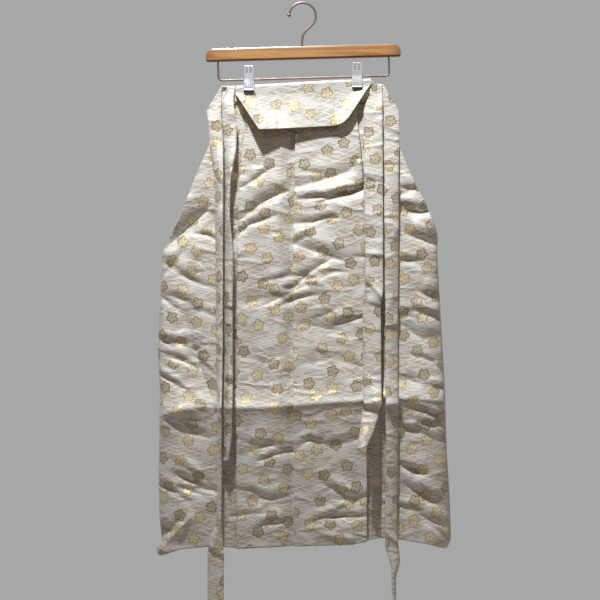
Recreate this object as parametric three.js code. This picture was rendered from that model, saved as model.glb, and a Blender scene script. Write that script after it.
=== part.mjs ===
// Hakama trousers held by two clips on a wooden trouser hanger, in millimetres with +Z up.
// The front of the trousers faces -Y, and the origin is the inner top of the hook.
import * as THREE from "three";
import { mergeVertices } from "three/addons/utils/BufferGeometryUtils.js";

const degree = Math.PI / 180;
const { lerp, smoothstep, clamp } = THREE.MathUtils;

// Cloth
const clothWall = 1.2; // one layer of cloth
const tieWall = 2.5; // a tie is folded from several layers
const boardWall = 3; // the stiff back board in its cover
const bandWall = 3;
const seamGap = 0.3;
const sideSeam = 0.4; // half the gap at the side seams, where the walls meet at a slant
const foldPitch = 1.8; // distance between the two layers at the edge of a pleat
const tieWidths = { front: 28, backLeft: 28, backRight: 36 };
const tieFreed = { from: 160, to: 215 }; // depth over which a tie leaves its flat, sewn end
const frontTieEnd = -1452;

// Heights
const waistTop = -182; // where the front panels leave the band
const storageFold = -739; // the crease left by folding the trousers for storage
const hemHeight = -1000;
const crotchHeight = -600;
const sideOpeningEnd = -459.5; // below it the side seams are closed
const sideOpeningTaper = 60;

// Hanger
const barLength = 360;
const barHeight = 24;
const barDepth = 13;
const barCentre = { x: 1.3, z: -91 };
const barTilt = 1.6 * degree; // the right end hangs higher
const barCorner = { top: 14, bottom: 3 };
const wireRadius = 2.2;
const wireDrop = 46.7; // bar centre to rod centre
const wireHalfSpan = 157.9;
const hookRadius = 24.7; // to the centre of the hook's rod
const hookRod = 2.1;
const hookBall = 3.3;
const clipWidth = 20;
const clipTop = 20; // below the bar's centre
const clipTip = 71.5;
const clipOffsets = { left: -100.6, right: 99.4 }; // along the bar
const jawWall = 1.5;
const padHeight = 9;
const padWall = 2;

// Pleats, widths and depths of each side at a height. out: side edge, side: fold edge of the
// side part, centre: fold edge of the centre part, each measured out from the middle.
const leftSide = [
  { z: -182, out: 149.9, side: 124, centre: 100 },
  { z: -266.6, out: 173.2, side: 140, centre: 110 },
  { z: -328.2, out: 198.9, side: 145, centre: 116 },
  { z: -396.3, out: 224.2, side: 146, centre: 118 },
  { z: -438.6, out: 247.5, side: 147, centre: 119 },
  { z: -459.5, out: 258.1, side: 147, centre: 119 },
  { z: -637.1, out: 267.3, side: 147, centre: 120 },
  { z: -716.7, out: 263.1, side: 147, centre: 120.3 },
  { z: -851.7, out: 265.5, side: 147, centre: 120.3 },
  { z: -946.1, out: 264.4, side: 147, centre: 120.3 },
  { z: -988.6, out: 259.9, side: 147, centre: 120.3 },
  { z: -1005.3, out: 271.5, side: 147, centre: 120.3 },
  { z: -1020.1, out: 264.4, side: 147, centre: 120.3 },
];
const rightSide = [
  { z: -182, out: 148, side: 122, centre: 97 },
  { z: -267.1, out: 177.6, side: 138, centre: 107 },
  { z: -331.9, out: 205.4, side: 143, centre: 112 },
  { z: -376.3, out: 228.5, side: 144, centre: 114 },
  { z: -431.8, out: 249.9, side: 145, centre: 115 },
  { z: -455.8, out: 248.3, side: 145, centre: 115 },
  { z: -596.4, out: 256.2, side: 145, centre: 116 },
  { z: -696.3, out: 262.3, side: 145, centre: 117 },
  { z: -833.2, out: 266.8, side: 145, centre: 117.5 },
  { z: -897.9, out: 271.4, side: 145, centre: 117.5 },
  { z: -988.6, out: 274.7, side: 145, centre: 117.5 },
  { z: -1007.1, out: 265.5, side: 145, centre: 117.5 },
];
// front and back: Y of the outer cloth, stack: depth of the front pleats, tuck: depth of the
// back pleats, under: how far a fold reaches under its part, step: drop at the centre fold,
// middle: X of the centre fold, backFold: half distance between the two back folds.
const bodyForm = [
  { z: -150, front: -2.4, back: 5.4, stack: 5, tuck: 3.6, under: 16, step: 0.3, middle: -12, backFold: 8 },
  { z: -182, front: -2.4, back: 6.8, stack: 5, tuck: 3.7, under: 16, step: 0.3, middle: -12, backFold: 9 },
  { z: -266, front: -8, back: 11, stack: 7, tuck: 5, under: 18, step: 3, middle: -13.5, backFold: 13 },
  { z: -330, front: -12, back: 14, stack: 8, tuck: 6, under: 20, step: 4, middle: -14.5, backFold: 17 },
  { z: -460, front: -18, back: 19, stack: 9, tuck: 7, under: 22, step: 5, middle: -17, backFold: 22 },
  { z: -739, front: -26, back: 27, stack: 13, tuck: 9, under: 24, step: 6, middle: -16, backFold: 32 },
  { z: -1020, front: -34, back: 34, stack: 16, tuck: 11, under: 26, step: 6, middle: -13.9, backFold: 42 },
];
const hemLine = [
  { x: -264.4, z: -1020.1 },
  { x: -225.5, z: -1004.7 },
  { x: -171.1, z: -999.7 },
  { x: -117.5, z: -1003.4 },
  { x: -10.2, z: -999 },
  { x: 89.7, z: -996 },
  { x: 148.9, z: -983.1 },
  { x: 176.7, z: -985.9 },
  { x: 231.3, z: -995.3 },
  { x: 265.5, z: -1007.1 },
];

// The largest folds of the hanging front: troughs, or ridges where deep is negative, each with
// its middle, the rise of its line to the right in degrees, and its half length and half width.
const hangingFolds = [
  { x: -90, z: -385, rise: 34, long: 75, wide: 20, deep: 6 },
  { x: 66, z: -318, rise: 18, long: 55, wide: 18, deep: 5 },
  { x: 82, z: -347, rise: 10, long: 40, wide: 14, deep: 5 },
  { x: 55, z: -468, rise: -20, long: 45, wide: 18, deep: 5 },
  { x: -218, z: -422, rise: 43, long: 55, wide: 18, deep: 9 },
  { x: -200, z: -655, rise: -72, long: 110, wide: 18, deep: 6 },
  { x: -209, z: -878, rise: -24, long: 30, wide: 16, deep: 6 },
  { x: -228, z: -968, rise: 48, long: 38, wide: 14, deep: -7 },
  { x: 208, z: -385, rise: -8, long: 32, wide: 16, deep: 7 },
  { x: 222, z: -437, rise: -22, long: 35, wide: 16, deep: 7 },
  { x: 235, z: -542, rise: -24, long: 28, wide: 16, deep: 6 },
  { x: 208, z: -859, rise: -18, long: 28, wide: 14, deep: 6 },
  { x: 221, z: -906, rise: -34, long: 38, wide: 16, deep: 7 },
  { x: 240, z: -954, rise: -27, long: 32, wide: 14, deep: 6 },
];

// Ties. left and right: visible edges, turn: which edge is nearer the front (1 right, -1 left),
// drop: how much lower the left edge of the row is, off: clearance in front of the cloth.
const frontTieLeft = [
  { z: -152.6, left: -175.2, right: -149.4, turn: 1, drop: 45, off: 0.3 },
  { z: -200, left: -175.4, right: -149.2, turn: 1, drop: 8, off: 0.8 },
  { z: -261, left: -171.1, right: -145.2, turn: 1, drop: 0, off: 1.5 },
  { z: -317, left: -161.9, right: -144.2, turn: 1, drop: 0, off: 2 },
  { z: -474, left: -159.1, right: -144.2, turn: 1, drop: 0, off: 2.5 },
  { z: -632, left: -158.2, right: -144.2, turn: 1, drop: 0, off: 2.5 },
  { z: -739, left: -155.4, right: -145, turn: 1, drop: 0, off: 2 },
  { z: -955, left: -156.7, right: -147.1, turn: 1, drop: 0, off: 2 },
  { z: -981, left: -169.3, right: -145.2, turn: 1, drop: 0, off: 3 },
  { z: -1011, left: -173, right: -143.4, turn: 1, drop: 0, off: 4 },
  { z: -1103, left: -173.5, right: -144, turn: 1, drop: 0, off: 1 },
  { z: -1250, left: -172, right: -146, turn: 1, drop: 0, off: -4 },
  { z: frontTieEnd, left: -172, right: -142, turn: 1, drop: 0, off: -10 },
];
const frontTieRight = [
  { z: -197, left: 148, right: 177.4, turn: -1, drop: -48, off: 0.3 },
  { z: -213, left: 149.2, right: 178.2, turn: -1, drop: -10, off: 0.8 },
  { z: -250, left: 149.2, right: 178.2, turn: -1, drop: 0, off: 1.5 },
  { z: -320, left: 149.2, right: 177, turn: -1, drop: 0, off: 2 },
  { z: -474, left: 149.8, right: 176, turn: -1, drop: 0, off: 2.5 },
  { z: -590, left: 150, right: 174.8, turn: -1, drop: 0, off: 2 },
  { z: -739, left: 150, right: 174.4, turn: -1, drop: 0, off: 2 },
  { z: -974, left: 150, right: 173, turn: -1, drop: 0, off: 2 },
  { z: -1002, left: 150.8, right: 175.9, turn: -1, drop: 0, off: 3 },
  { z: -1029, left: 160, right: 178.5, turn: -1, drop: 0, off: 3 },
  { z: -1052, left: 161.9, right: 171.1, turn: -1, drop: 0, off: 2 },
  { z: -1103, left: 163.2, right: 171.1, turn: -1, drop: 0, off: 1 },
  { z: -1200, left: 158, right: 176, turn: -1, drop: 0, off: -3 },
  { z: frontTieEnd, left: 152, right: 182, turn: -1, drop: 0, off: -10 },
];
const backTieLeft = [
  { z: -154, left: -148, right: -124.2, turn: 1, drop: 0, off: 0.3 },
  { z: -172, left: -147.8, right: -126.8, turn: 1, drop: 0, off: 0.5 },
  { z: -219, left: -147.6, right: -120.4, turn: 1, drop: 0, off: 1 },
  { z: -269, left: -143.6, right: -120.4, turn: 1, drop: 0, off: 2 },
  { z: -328, left: -142.5, right: -130.4, turn: 1, drop: 0, off: 3 },
  { z: -397, left: -142.5, right: -132, turn: 1, drop: 0, off: 3 },
  { z: -456, left: -142.5, right: -125.6, turn: 1, drop: 0, off: 3 },
  { z: -556, left: -142.5, right: -126.7, turn: 1, drop: 0, off: 3 },
  { z: -739, left: -143, right: -125.6, turn: 1, drop: 0, off: 3 },
  { z: -802, left: -144, right: -128, turn: 1, drop: 0, off: 3 },
  { z: -838, left: -146, right: -133, turn: 1, drop: 5, off: 4 },
];
const backTieRight = [
  { z: -152, left: 127.4, right: 147.1, turn: -1, drop: -9, off: 0.3 },
  { z: -160, left: 127.2, right: 147.2, turn: -1, drop: 0, off: 0.3 },
  { z: -176, left: 119.5, right: 147.7, turn: -1, drop: 0, off: 0.5 },
  { z: -199, left: 112.6, right: 147.7, turn: -1, drop: 0, off: 1.5 },
  { z: -319, left: 112.4, right: 147.7, turn: -1, drop: 0, off: 3 },
  { z: -524, left: 115, right: 147.4, turn: -1, drop: 0, off: 4 },
  { z: -540, left: 116, right: 145.6, turn: -1, drop: 0, off: 5 },
  { z: -556, left: 110, right: 143.4, turn: -1, drop: 0, off: 4 },
  { z: -739, left: 110, right: 143.4, turn: -1, drop: 0, off: 5 },
  { z: -790, left: 102, right: 127, turn: -1, drop: 0, off: 7 },
  { z: -810, left: 97.2, right: 115.6, turn: -1, drop: 7, off: 8 },
];

// Back board, turned over the band to hang in front. Its top edge climbs to the right, and
// low gives its lower outline from left to right.
const boardTop = { left: -151.9, right: -137.6 };
const boardEnds = { left: -123.4, right: 126.7 };
const boardLow = [
  { x: -123.4, low: -169.1 },
  { x: -79.4, low: -238.3 },
  { x: 60, low: -229 },
  { x: 67.9, low: -227.5 },
  { x: 76, low: -223 },
  { x: 84.9, low: -214.2 },
  { x: 123, low: -154.5 },
  { x: 126.7, low: -149.5 },
];
const boardSeat = { back: 3.6, front: -4.8 }; // Y of the board behind and before the band
const boardMiddle = (boardSeat.back + boardSeat.front) / 2;
const boardRadius = (boardSeat.back - boardSeat.front) / 2;
const boardStandOff = { left: 25, right: 14 }; // how far its lower edge stands off the cloth
const boardReach = 80;
const boardFlat = 14; // the clips hold this much of it upright
const bandTop = { left: -152.4, right: -148.7 };

// A column's value at a place, straight between the rows of a table.
const valueAt = (table, key, column, place) => {
  const rising = table[1][key] > table[0][key];
  const next = table.findIndex((row) => (rising ? row[key] >= place : row[key] <= place));
  if (next === 0) return table[0][column];
  if (next < 0) return table[table.length - 1][column];
  const [from, to] = [table[next - 1], table[next]];
  return lerp(from[column], to[column], (place - from[key]) / (to[key] - from[key]));
};
const atHeight = (table, column, z) => valueAt(table, "z", column, z);
const spaced = (from, to, steps) => Array.from({ length: steps + 1 }, (_, i) => lerp(from, to, i / steps));

// A closed wall between two grids of points, outer and inner, that have the same rows.
const wallBetween = (outer, inner) => {
  const [rows, columns] = [outer.length, outer[0].length];
  const positions = [...outer.flat(), ...inner.flat()].flatMap((p) => [p.x, p.y, p.z]);
  const index = (side, j, i) => side * rows * columns + j * columns + i;
  const faces = [];
  const quad = (a, b, c, d) => faces.push(a, b, c, a, c, d);
  for (let j = 0; j < rows - 1; j++) {
    for (let i = 0; i < columns - 1; i++) {
      quad(index(0, j, i), index(0, j, i + 1), index(0, j + 1, i + 1), index(0, j + 1, i));
      quad(index(1, j, i), index(1, j + 1, i), index(1, j + 1, i + 1), index(1, j, i + 1));
    }
    const last = columns - 1;
    quad(index(0, j, 0), index(0, j + 1, 0), index(1, j + 1, 0), index(1, j, 0));
    quad(index(0, j, last), index(1, j, last), index(1, j + 1, last), index(0, j + 1, last));
  }
  for (let i = 0; i < columns - 1; i++) {
    const end = rows - 1;
    quad(index(0, 0, i), index(1, 0, i), index(1, 0, i + 1), index(0, 0, i + 1));
    quad(index(0, end, i), index(0, end, i + 1), index(1, end, i + 1), index(1, end, i));
  }
  const geometry = new THREE.BufferGeometry();
  geometry.setAttribute("position", new THREE.Float32BufferAttribute(positions, 3));
  geometry.setIndex(faces);
  if (signedVolume(geometry) < 0) geometry.setIndex(faces.reverse());
  return geometry;
};

const signedVolume = (geometry) => {
  const [a, b, c] = [new THREE.Vector3(), new THREE.Vector3(), new THREE.Vector3()];
  const place = geometry.getAttribute("position");
  const order = geometry.getIndex();
  let volume = 0;
  for (let i = 0; i < order.count; i += 3) {
    [a, b, c].forEach((corner, k) => corner.fromBufferAttribute(place, order.getX(i + k)));
    volume += a.dot(b.cross(c)) / 6;
  }
  return volume;
};

// The two sides of a wall along a path of 2-D points, mitred at its corners.
const bothSides = (path, wall) => {
  const normals = path.slice(1).map((point, i) => {
    const along = new THREE.Vector2().subVectors(point, path[i]).normalize();
    return new THREE.Vector2(-along.y, along.x);
  });
  return [1, -1].map((side) =>
    path.map((point, i) => {
      const before = normals[Math.max(i - 1, 0)];
      const after = normals[Math.min(i, normals.length - 1)];
      const mitre = new THREE.Vector2().addVectors(before, after).normalize();
      return point.clone().addScaledVector(mitre, (side * wall) / 2 / Math.max(mitre.dot(before), 0.5));
    }),
  );
};

// Panels. Each row of a panel is a path in plan, from the side seam to the middle.
const rowHeights = [...spaced(waistTop, storageFold, 19), ...spaced(storageFold, hemHeight, 9).slice(1)];
const storageRidge = (z) => -6 * Math.exp(-Math.abs(z - storageFold) / (z > storageFold ? 35 : 60));
const sideClosed = (z) => 1 - smoothstep(z, sideOpeningEnd, sideOpeningEnd + sideOpeningTaper);
const point = (x, y) => new THREE.Vector2(x, y);

// How far the hanging folds push the front cloth back at a place.
const foldDepth = (x, z) =>
  hangingFolds.reduce((sum, fold) => {
    const [cos, sin] = [Math.cos(fold.rise * degree), Math.sin(fold.rise * degree)];
    const along = ((x - fold.x) * cos + (z - fold.z) * sin) / fold.long;
    const across = ((z - fold.z) * cos - (x - fold.x) * sin) / fold.wide;
    return sum + fold.deep * Math.exp(-(along ** 2) - across ** 2);
  }, 0);

// The side part, from its seam or free edge to the flat cloth beside the fold.
const sideCurve = (out, face, edge, reach) =>
  [90, 72, 54, 36, 18, 0].map((angle) =>
    point(out - reach + reach * Math.sin(angle * degree), lerp(edge, face, Math.cos(angle * degree))),
  );

const middleUnder = { left: 38, right: 44 }; // reach of each half behind the middle fold
const flatFrontPath = (table, z, sign) => {
  const outerZ = lerp(waistTop, valueAt(hemLine, "x", "z", sign * 260), (z - waistTop) / (hemHeight - waistTop));
  const out = atHeight(table, "out", outerZ);
  const side = atHeight(table, "side", z);
  const centre = atHeight(table, "centre", z);
  const [front, stack, under, step, middle] = ["front", "stack", "under", "step", "middle"].map((column) =>
    atHeight(bodyForm, column, z),
  );
  const face = front + storageRidge(z);
  const edge = lerp(face, -sideSeam, sideClosed(z));
  const reach = Math.min(38, (out - side) * 0.55);
  const sideFlat = spaced(out - reach, side, 4).slice(1, -1).map((u) => point(u, face));
  const sidePart = [...sideCurve(out, face, edge, reach), ...sideFlat];
  const strip = face + stack;
  const pleats = [
    point(side, face),
    point(side, face + foldPitch),
    point(side + under, face + stack * 0.45),
    point(side + under, face + stack * 0.45 + foldPitch),
    point(side, lerp(face, strip, 0.9)),
    point(centre, strip),
    point(centre - under, strip),
    point(centre - under, strip - foldPitch),
    point(centre, face + foldPitch),
    point(centre, face),
  ];
  // The right half folds under at the middle, and the left half passes behind that fold.
  const fold = sign * middle;
  const centrePart = spaced(centre, fold, 5).slice(1, -1).map((u) => point(u, face));
  if (sign > 0) {
    const under = spaced(0, middleUnder.right, 3).map((reach) =>
      point(fold + reach, face + foldPitch + (step * reach) / middleUnder.right),
    );
    const turned = [point(fold, face), ...under];
    return [...sidePart, ...pleats, ...centrePart, ...turned];
  }
  const behind = face + foldPitch + clothWall + sideSeam * 2;
  const passed = spaced(-4, middleUnder.left, 3).map((reach) =>
    point(fold - reach, behind + (step * middleUnder.left) / middleUnder.right),
  );
  return [...sidePart, ...pleats, ...centrePart, ...passed];
};

const frontPath = (table, z, sign) =>
  flatFrontPath(table, z, sign).map((p) => {
    const clearOfSeam = clamp(-p.y / 15, 0, 1); // the folds die out towards the side seam
    return point(p.x, p.y + foldDepth(sign * p.x, z) * clearOfSeam);
  });

const backSeam = 5; // X of the centre back seam
const slitWidth = (z) => seamGap + 3 * smoothstep(-z, -crotchHeight, -hemHeight);

const backPath = (table, z, sign) => {
  const outerZ = lerp(waistTop, valueAt(hemLine, "x", "z", sign * 260), (z - waistTop) / (hemHeight - waistTop));
  const narrower = 4 + 22 * smoothstep(z, -330, waistTop); // the back is set in from the front
  const out = atHeight(table, "out", outerZ) - narrower * (1 - sideClosed(z));
  const [back, tuck, fold] = ["back", "tuck", "backFold"].map((column) => atHeight(bodyForm, column, z));
  const face = back - 0.5 * storageRidge(z);
  const edge = lerp(face, sideSeam, sideClosed(z));
  const seam = sign * backSeam;
  const reach = Math.min(38, out * 0.2);
  const flat = spaced(out - reach, fold + seam, 5).slice(1, -1).map((u) => point(u, face));
  return [
    ...sideCurve(out, face, edge, reach),
    ...flat,
    point(fold + seam, face),
    point(fold + seam, face - foldPitch),
    point(fold + seam + 30, face - tuck / 2 + 0.05),
    point(fold + seam + 30, face - tuck / 2 - foldPitch + 0.05),
    point(seam + slitWidth(z) / 2, face - tuck),
  ];
};

// Rows of plan paths made a wall, with each point's height eased to the top and hem lines.
const panelWall = (rows, sign, topLine) => {
  const grids = [[], []];
  for (const { z, path } of rows) {
    const share = (z - waistTop) / (hemHeight - waistTop);
    const raise = (x) => {
      if (z > waistTop) return z + topLine(x) * ((z - waistTop) / (rows[0].z - waistTop));
      return lerp(waistTop, valueAt(hemLine, "x", "z", x), share);
    };
    bothSides(path, clothWall).forEach((side, k) => {
      grids[k].push(side.map((p, i) => new THREE.Vector3(sign * p.x, p.y, raise(sign * path[i].x))));
    });
  }
  return wallBetween(grids[0], grids[1]);
};

const frontPanel = (table, sign) =>
  panelWall(
    rowHeights.map((z) => ({ z, path: frontPath(table, z, sign) })),
    sign,
    () => 0,
  );

const boardTopAt = (x) => lerp(boardTop.left, boardTop.right, (x - boardEnds.left) / (boardEnds.right - boardEnds.left));
const backStart = -170; // mean height of the back panels' sewn edge
const backPanel = (table, sign) =>
  panelWall(
    [backStart, ...rowHeights].map((z) => ({ z, path: backPath(table, z, sign) })),
    sign,
    (x) => boardTopAt(clamp(x, boardEnds.left, boardEnds.right)) - 9.3 - backStart,
  );

// The inner wall of a leg, from the hidden end of its front panel to the back seam.
const gusset = (sign) => {
  const rows = rowHeights.filter((z) => z < crotchHeight).map((z) => {
    const [step, middle, front, back, tuck] = ["step", "middle", "front", "back", "tuck"].map((column) =>
      atHeight(bodyForm, column, z),
    );
    const face = front + storageRidge(z);
    const half = clothWall / 2;
    const hidden = sign > 0 ? face + foldPitch + step : face + foldPitch + clothWall + sideSeam * 2 + (step * middleUnder.left) / middleUnder.right;
    const start = point(middle + (sign > 0 ? middleUnder.right : middleUnder.left) - half, hidden + half + sideSeam * 2);
    const inner = back - 0.5 * storageRidge(z) - tuck;
    const end = point(backSeam + sign * (slitWidth(z) / 2 + half), inner - half - sideSeam * 2);
    return { z, path: [0, 0.33, 0.67, 1].map((t) => point(lerp(start.x, end.x, t), lerp(start.y, end.y, t))) };
  });
  return panelWall(rows, 1, () => 0);
};

// Front band, a flat strip whose top edge runs under the fold of the back board.
const frontBand = () => {
  const [left, right] = [-leftSide[0].out, rightSide[0].out];
  const stations = [left, boardEnds.left - 1.2, boardEnds.left - 0.6, -90, -60, 0, 60, 100, right];
  const topAt = (x) => {
    const line = lerp(bandTop.left, bandTop.right, (x - left) / (right - left));
    const under = boardTopAt(x) - boardWall / 2 - boardRadius + 0.6;
    return x > boardEnds.left - 1 && x < boardEnds.right ? Math.min(line, under) : line;
  };
  const face = (y) =>
    stations.map((x) => [0, 0.5, 1].map((t) => new THREE.Vector3(x, y, lerp(topAt(x), waistTop + seamGap, t))));
  return wallBetween(face(-bandWall), face(0));
};

// A tie: a ribbon that turns as it hangs, so that less of its width shows where it is turned.
const tie = (table, width) => {
  const rows = table.map((row) => {
    const freed = smoothstep(-Math.max(row.z, row.z - row.drop), tieFreed.from, tieFreed.to);
    const turned = Math.sqrt(1 - Math.min((row.right - row.left) / width, 1) ** 2) * freed;
    const across = (row.right - row.left) / 2 - (tieWall / 2) * turned;
    const depth = (width / 2) * turned;
    const hung = Math.max(row.z, hemHeight);
    const face = atHeight(bodyForm, "front", hung) + storageRidge(row.z) - clothWall / 2;
    const middle = point((row.left + row.right) / 2, Math.min(face, -bandWall) - row.off - tieWall / 2 - depth);
    const normal = point(row.turn * depth, across).normalize().multiplyScalar(tieWall / 2);
    const ends = [-1, 1].map((end) => ({
      at: point(middle.x + end * across, middle.y - end * row.turn * depth),
      z: row.z - (end < 0 ? row.drop : 0),
    }));
    return [-1, 1].map((side) =>
      ends.map(({ at, z }) => new THREE.Vector3(at.x + side * normal.x, at.y + side * normal.y, z)),
    );
  });
  return wallBetween(
    rows.map((row) => row[0]),
    rows.map((row) => row[1]),
  );
};

// Back board: a hooked section over the band, run from left to right.
const backBoard = () => {
  const stations = [-123.4, -108, -94, -79.4, -45, -10, 25, 60, 67.9, 76, 84.9, 98, 111, 123, 126.7];
  const grids = [[], []];
  for (const x of stations) {
    const top = boardTopAt(x) - boardWall / 2;
    const turn = top - boardRadius;
    const low = Math.min(valueAt(boardLow, "x", "low", x), turn - 3);
    const across = smoothstep(x, -70, 70);
    const standOff = lerp(boardStandOff.left, boardStandOff.right, across);
    const over = [0, 30, 60, 90, 120, 150, 180].map((angle) =>
      point(boardMiddle + boardRadius * Math.cos(angle * degree), turn + boardRadius * Math.sin(angle * degree)),
    );
    const hang = spaced(turn, low, 7).slice(1).map((z) => {
      const down = Math.max(turn - boardFlat - z, 0) / boardReach;
      return point(boardSeat.front - standOff * down ** 1.4, z);
    });
    const path = [point(boardSeat.back, turn - 3), ...over, ...hang];
    bothSides(path, boardWall).forEach((side, k) => grids[k].push(side.map((p) => new THREE.Vector3(x, p.x, p.y))));
  }
  return wallBetween(grids[0], grids[1]);
};

// Hanger
const merged = (geometry) => {
  ["normal", "uv"].forEach((name) => geometry.deleteAttribute(name));
  return mergeVertices(geometry, 1e-4);
};

const woodenBar = () => {
  const [half, high] = [barLength / 2, barHeight / 2];
  const { top, bottom } = barCorner;
  const outline = new THREE.Shape();
  outline.moveTo(-half + bottom, -high);
  outline.lineTo(half - bottom, -high);
  outline.absarc(half - bottom, -high + bottom, bottom, -90 * degree, 0, false);
  outline.absarc(half - top, high - top, top, 0, 90 * degree, false);
  outline.absarc(-half + top, high - top, top, 90 * degree, 180 * degree, false);
  outline.absarc(-half + bottom, -high + bottom, bottom, 180 * degree, 270 * degree, false);
  const bar = new THREE.ExtrudeGeometry(outline, { depth: barDepth, bevelEnabled: false, curveSegments: 5 });
  return merged(bar.translate(0, 0, -barDepth / 2).rotateX(90 * degree));
};

const rodAlong = (curve, radius, sides, steps) => {
  const section = new THREE.Shape();
  section.absarc(0, 0, radius, 0, 2 * Math.PI, false);
  const options = { extrudePath: curve, steps, curveSegments: sides / 2, bevelEnabled: false };
  return merged(new THREE.ExtrudeGeometry(section, options));
};

const wireFrame = () => {
  const bend = 7;
  const top = -barHeight / 2 - seamGap;
  const route = [
    [-wireHalfSpan, top],
    [-wireHalfSpan, -wireDrop + bend * 2],
    [-wireHalfSpan, -wireDrop + bend],
    [-wireHalfSpan + bend * 0.3, -wireDrop + bend * 0.3],
    [-wireHalfSpan + bend, -wireDrop],
    [-wireHalfSpan + bend * 2, -wireDrop],
  ];
  const points = [...route, ...route.toReversed().map(([x, z]) => [-x, z])];
  const curve = new THREE.CatmullRomCurve3(
    points.map(([x, z]) => new THREE.Vector3(x, 0, z)),
    false,
    "centripetal",
  );
  return rodAlong(curve, wireRadius, 8, 44);
};

// The hook: a stem that bends aside, then an arc over the rail to a ball at its tip.
const hookCurve = () => {
  const centre = -hookRadius + hookRod;
  const barTop = barCentre.z + barHeight / 2 + seamGap + 0.1;
  const stem = [
    [-1, barTop],
    [-0.6, -70],
    [0.2, -61.2],
    [4.6, -51.6],
    [16.2, -40.6],
  ];
  const arc = spaced(-22, 168, 12).map((angle) => [
    hookRadius * Math.cos(angle * degree),
    centre + hookRadius * Math.sin(angle * degree),
  ]);
  return new THREE.CatmullRomCurve3(
    [...stem, ...arc].map(([x, z]) => new THREE.Vector3(x, 0, z)),
    false,
    "centripetal",
  );
};

const hookTip = () => {
  const angle = 168 * degree + (hookBall + seamGap) / hookRadius;
  const ball = new THREE.SphereGeometry(hookBall, 12, 8);
  ball.translate(hookRadius * Math.cos(angle), 0, -hookRadius + hookRod + hookRadius * Math.sin(angle));
  return merged(ball);
};

// One jaw of a clip, a bent strip beside the rod that opens round the cloth at its tip.
const padFace = { front: -6.9, back: 7.5 }; // Y of the rubber against the cloth
const jawSection = (side) => {
  const reach = side < 0 ? -padFace.front : padFace.back;
  const tip = reach + padWall + seamGap + jawWall / 2;
  const nearRod = wireRadius + seamGap + jawWall / 2;
  return [
    point(side * 10, -clipTop),
    point(side * 7.5, -clipTop - 8),
    point(side * nearRod, -wireDrop + 4),
    point(side * nearRod, -wireDrop + 0.5),
    point(side * tip, -wireDrop - 6.5),
    point(side * tip, -clipTip + padHeight),
    point(side * tip, -clipTip),
  ];
};

const jaw = (side) => {
  const grids = [[], []];
  for (const x of [-clipWidth / 2, clipWidth / 2]) {
    bothSides(jawSection(side), jawWall).forEach((edge, k) =>
      grids[k].push(edge.map((p) => new THREE.Vector3(x, p.x, p.y))),
    );
  }
  return wallBetween(grids[0], grids[1]);
};

const pad = (side) => {
  const reach = side < 0 ? -padFace.front : padFace.back;
  const block = new THREE.BoxGeometry(clipWidth, padWall, padHeight);
  return merged(block.translate(0, side * (reach + padWall / 2), -clipTip + padHeight / 2));
};

// Scene graph
const brocade = new THREE.MeshStandardMaterial({ color: 0xe9e2d2, roughness: 0.55, side: THREE.DoubleSide });
const wood = new THREE.MeshStandardMaterial({ color: 0xc08a52, roughness: 0.35 });
const steel = new THREE.MeshStandardMaterial({ color: 0xb9bcc0, roughness: 0.25, metalness: 1 });
const chrome = new THREE.MeshStandardMaterial({ color: 0xd6d8da, roughness: 0.12, metalness: 1 });
const rubber = new THREE.MeshStandardMaterial({ color: 0x1b1b1c, roughness: 0.8 });

const piece = (name, geometry, material) => {
  geometry.computeVertexNormals();
  const mesh = new THREE.Mesh(geometry, material);
  mesh.name = name;
  return mesh;
};

const trousers = new THREE.Group();
trousers.add(
  piece("front_left", frontPanel(leftSide, -1), brocade),
  piece("front_right", frontPanel(rightSide, 1), brocade),
  piece("back_left", backPanel(leftSide, -1), brocade),
  piece("back_right", backPanel(rightSide, 1), brocade),
  piece("gusset_left", gusset(-1), brocade),
  piece("gusset_right", gusset(1), brocade),
  piece("front_band", frontBand(), brocade),
  piece("front_tie_left", tie(frontTieLeft, tieWidths.front), brocade),
  piece("front_tie_right", tie(frontTieRight, tieWidths.front), brocade),
  piece("back_tie_left", tie(backTieLeft, tieWidths.backLeft), brocade),
  piece("back_tie_right", tie(backTieRight, tieWidths.backRight), brocade),
  piece("back_board", backBoard(), brocade),
);

const hanger = new THREE.Group();
hanger.position.set(barCentre.x, 0, barCentre.z);
hanger.rotation.y = -barTilt;
hanger.add(piece("hanger_bar", woodenBar(), wood), piece("hanger_wire", wireFrame(), steel));
for (const [name, offset] of Object.entries(clipOffsets)) {
  const clip = new THREE.Group();
  clip.position.x = offset;
  clip.rotation.y = barTilt;
  clip.position.z = 0;
  clip.add(
    piece(`clip_${name}_front_jaw`, jaw(-1), chrome),
    piece(`clip_${name}_back_jaw`, jaw(1), chrome),
    piece(`clip_${name}_front_pad`, pad(-1), rubber),
    piece(`clip_${name}_back_pad`, pad(1), rubber),
  );
  hanger.add(clip);
}

const group = new THREE.Group();
group.add(trousers, hanger);
group.add(piece("hanger_hook", rodAlong(hookCurve(), hookRod, 8, 40), steel), piece("hook_ball", hookTip(), steel));

export default group;
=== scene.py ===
import math

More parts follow.
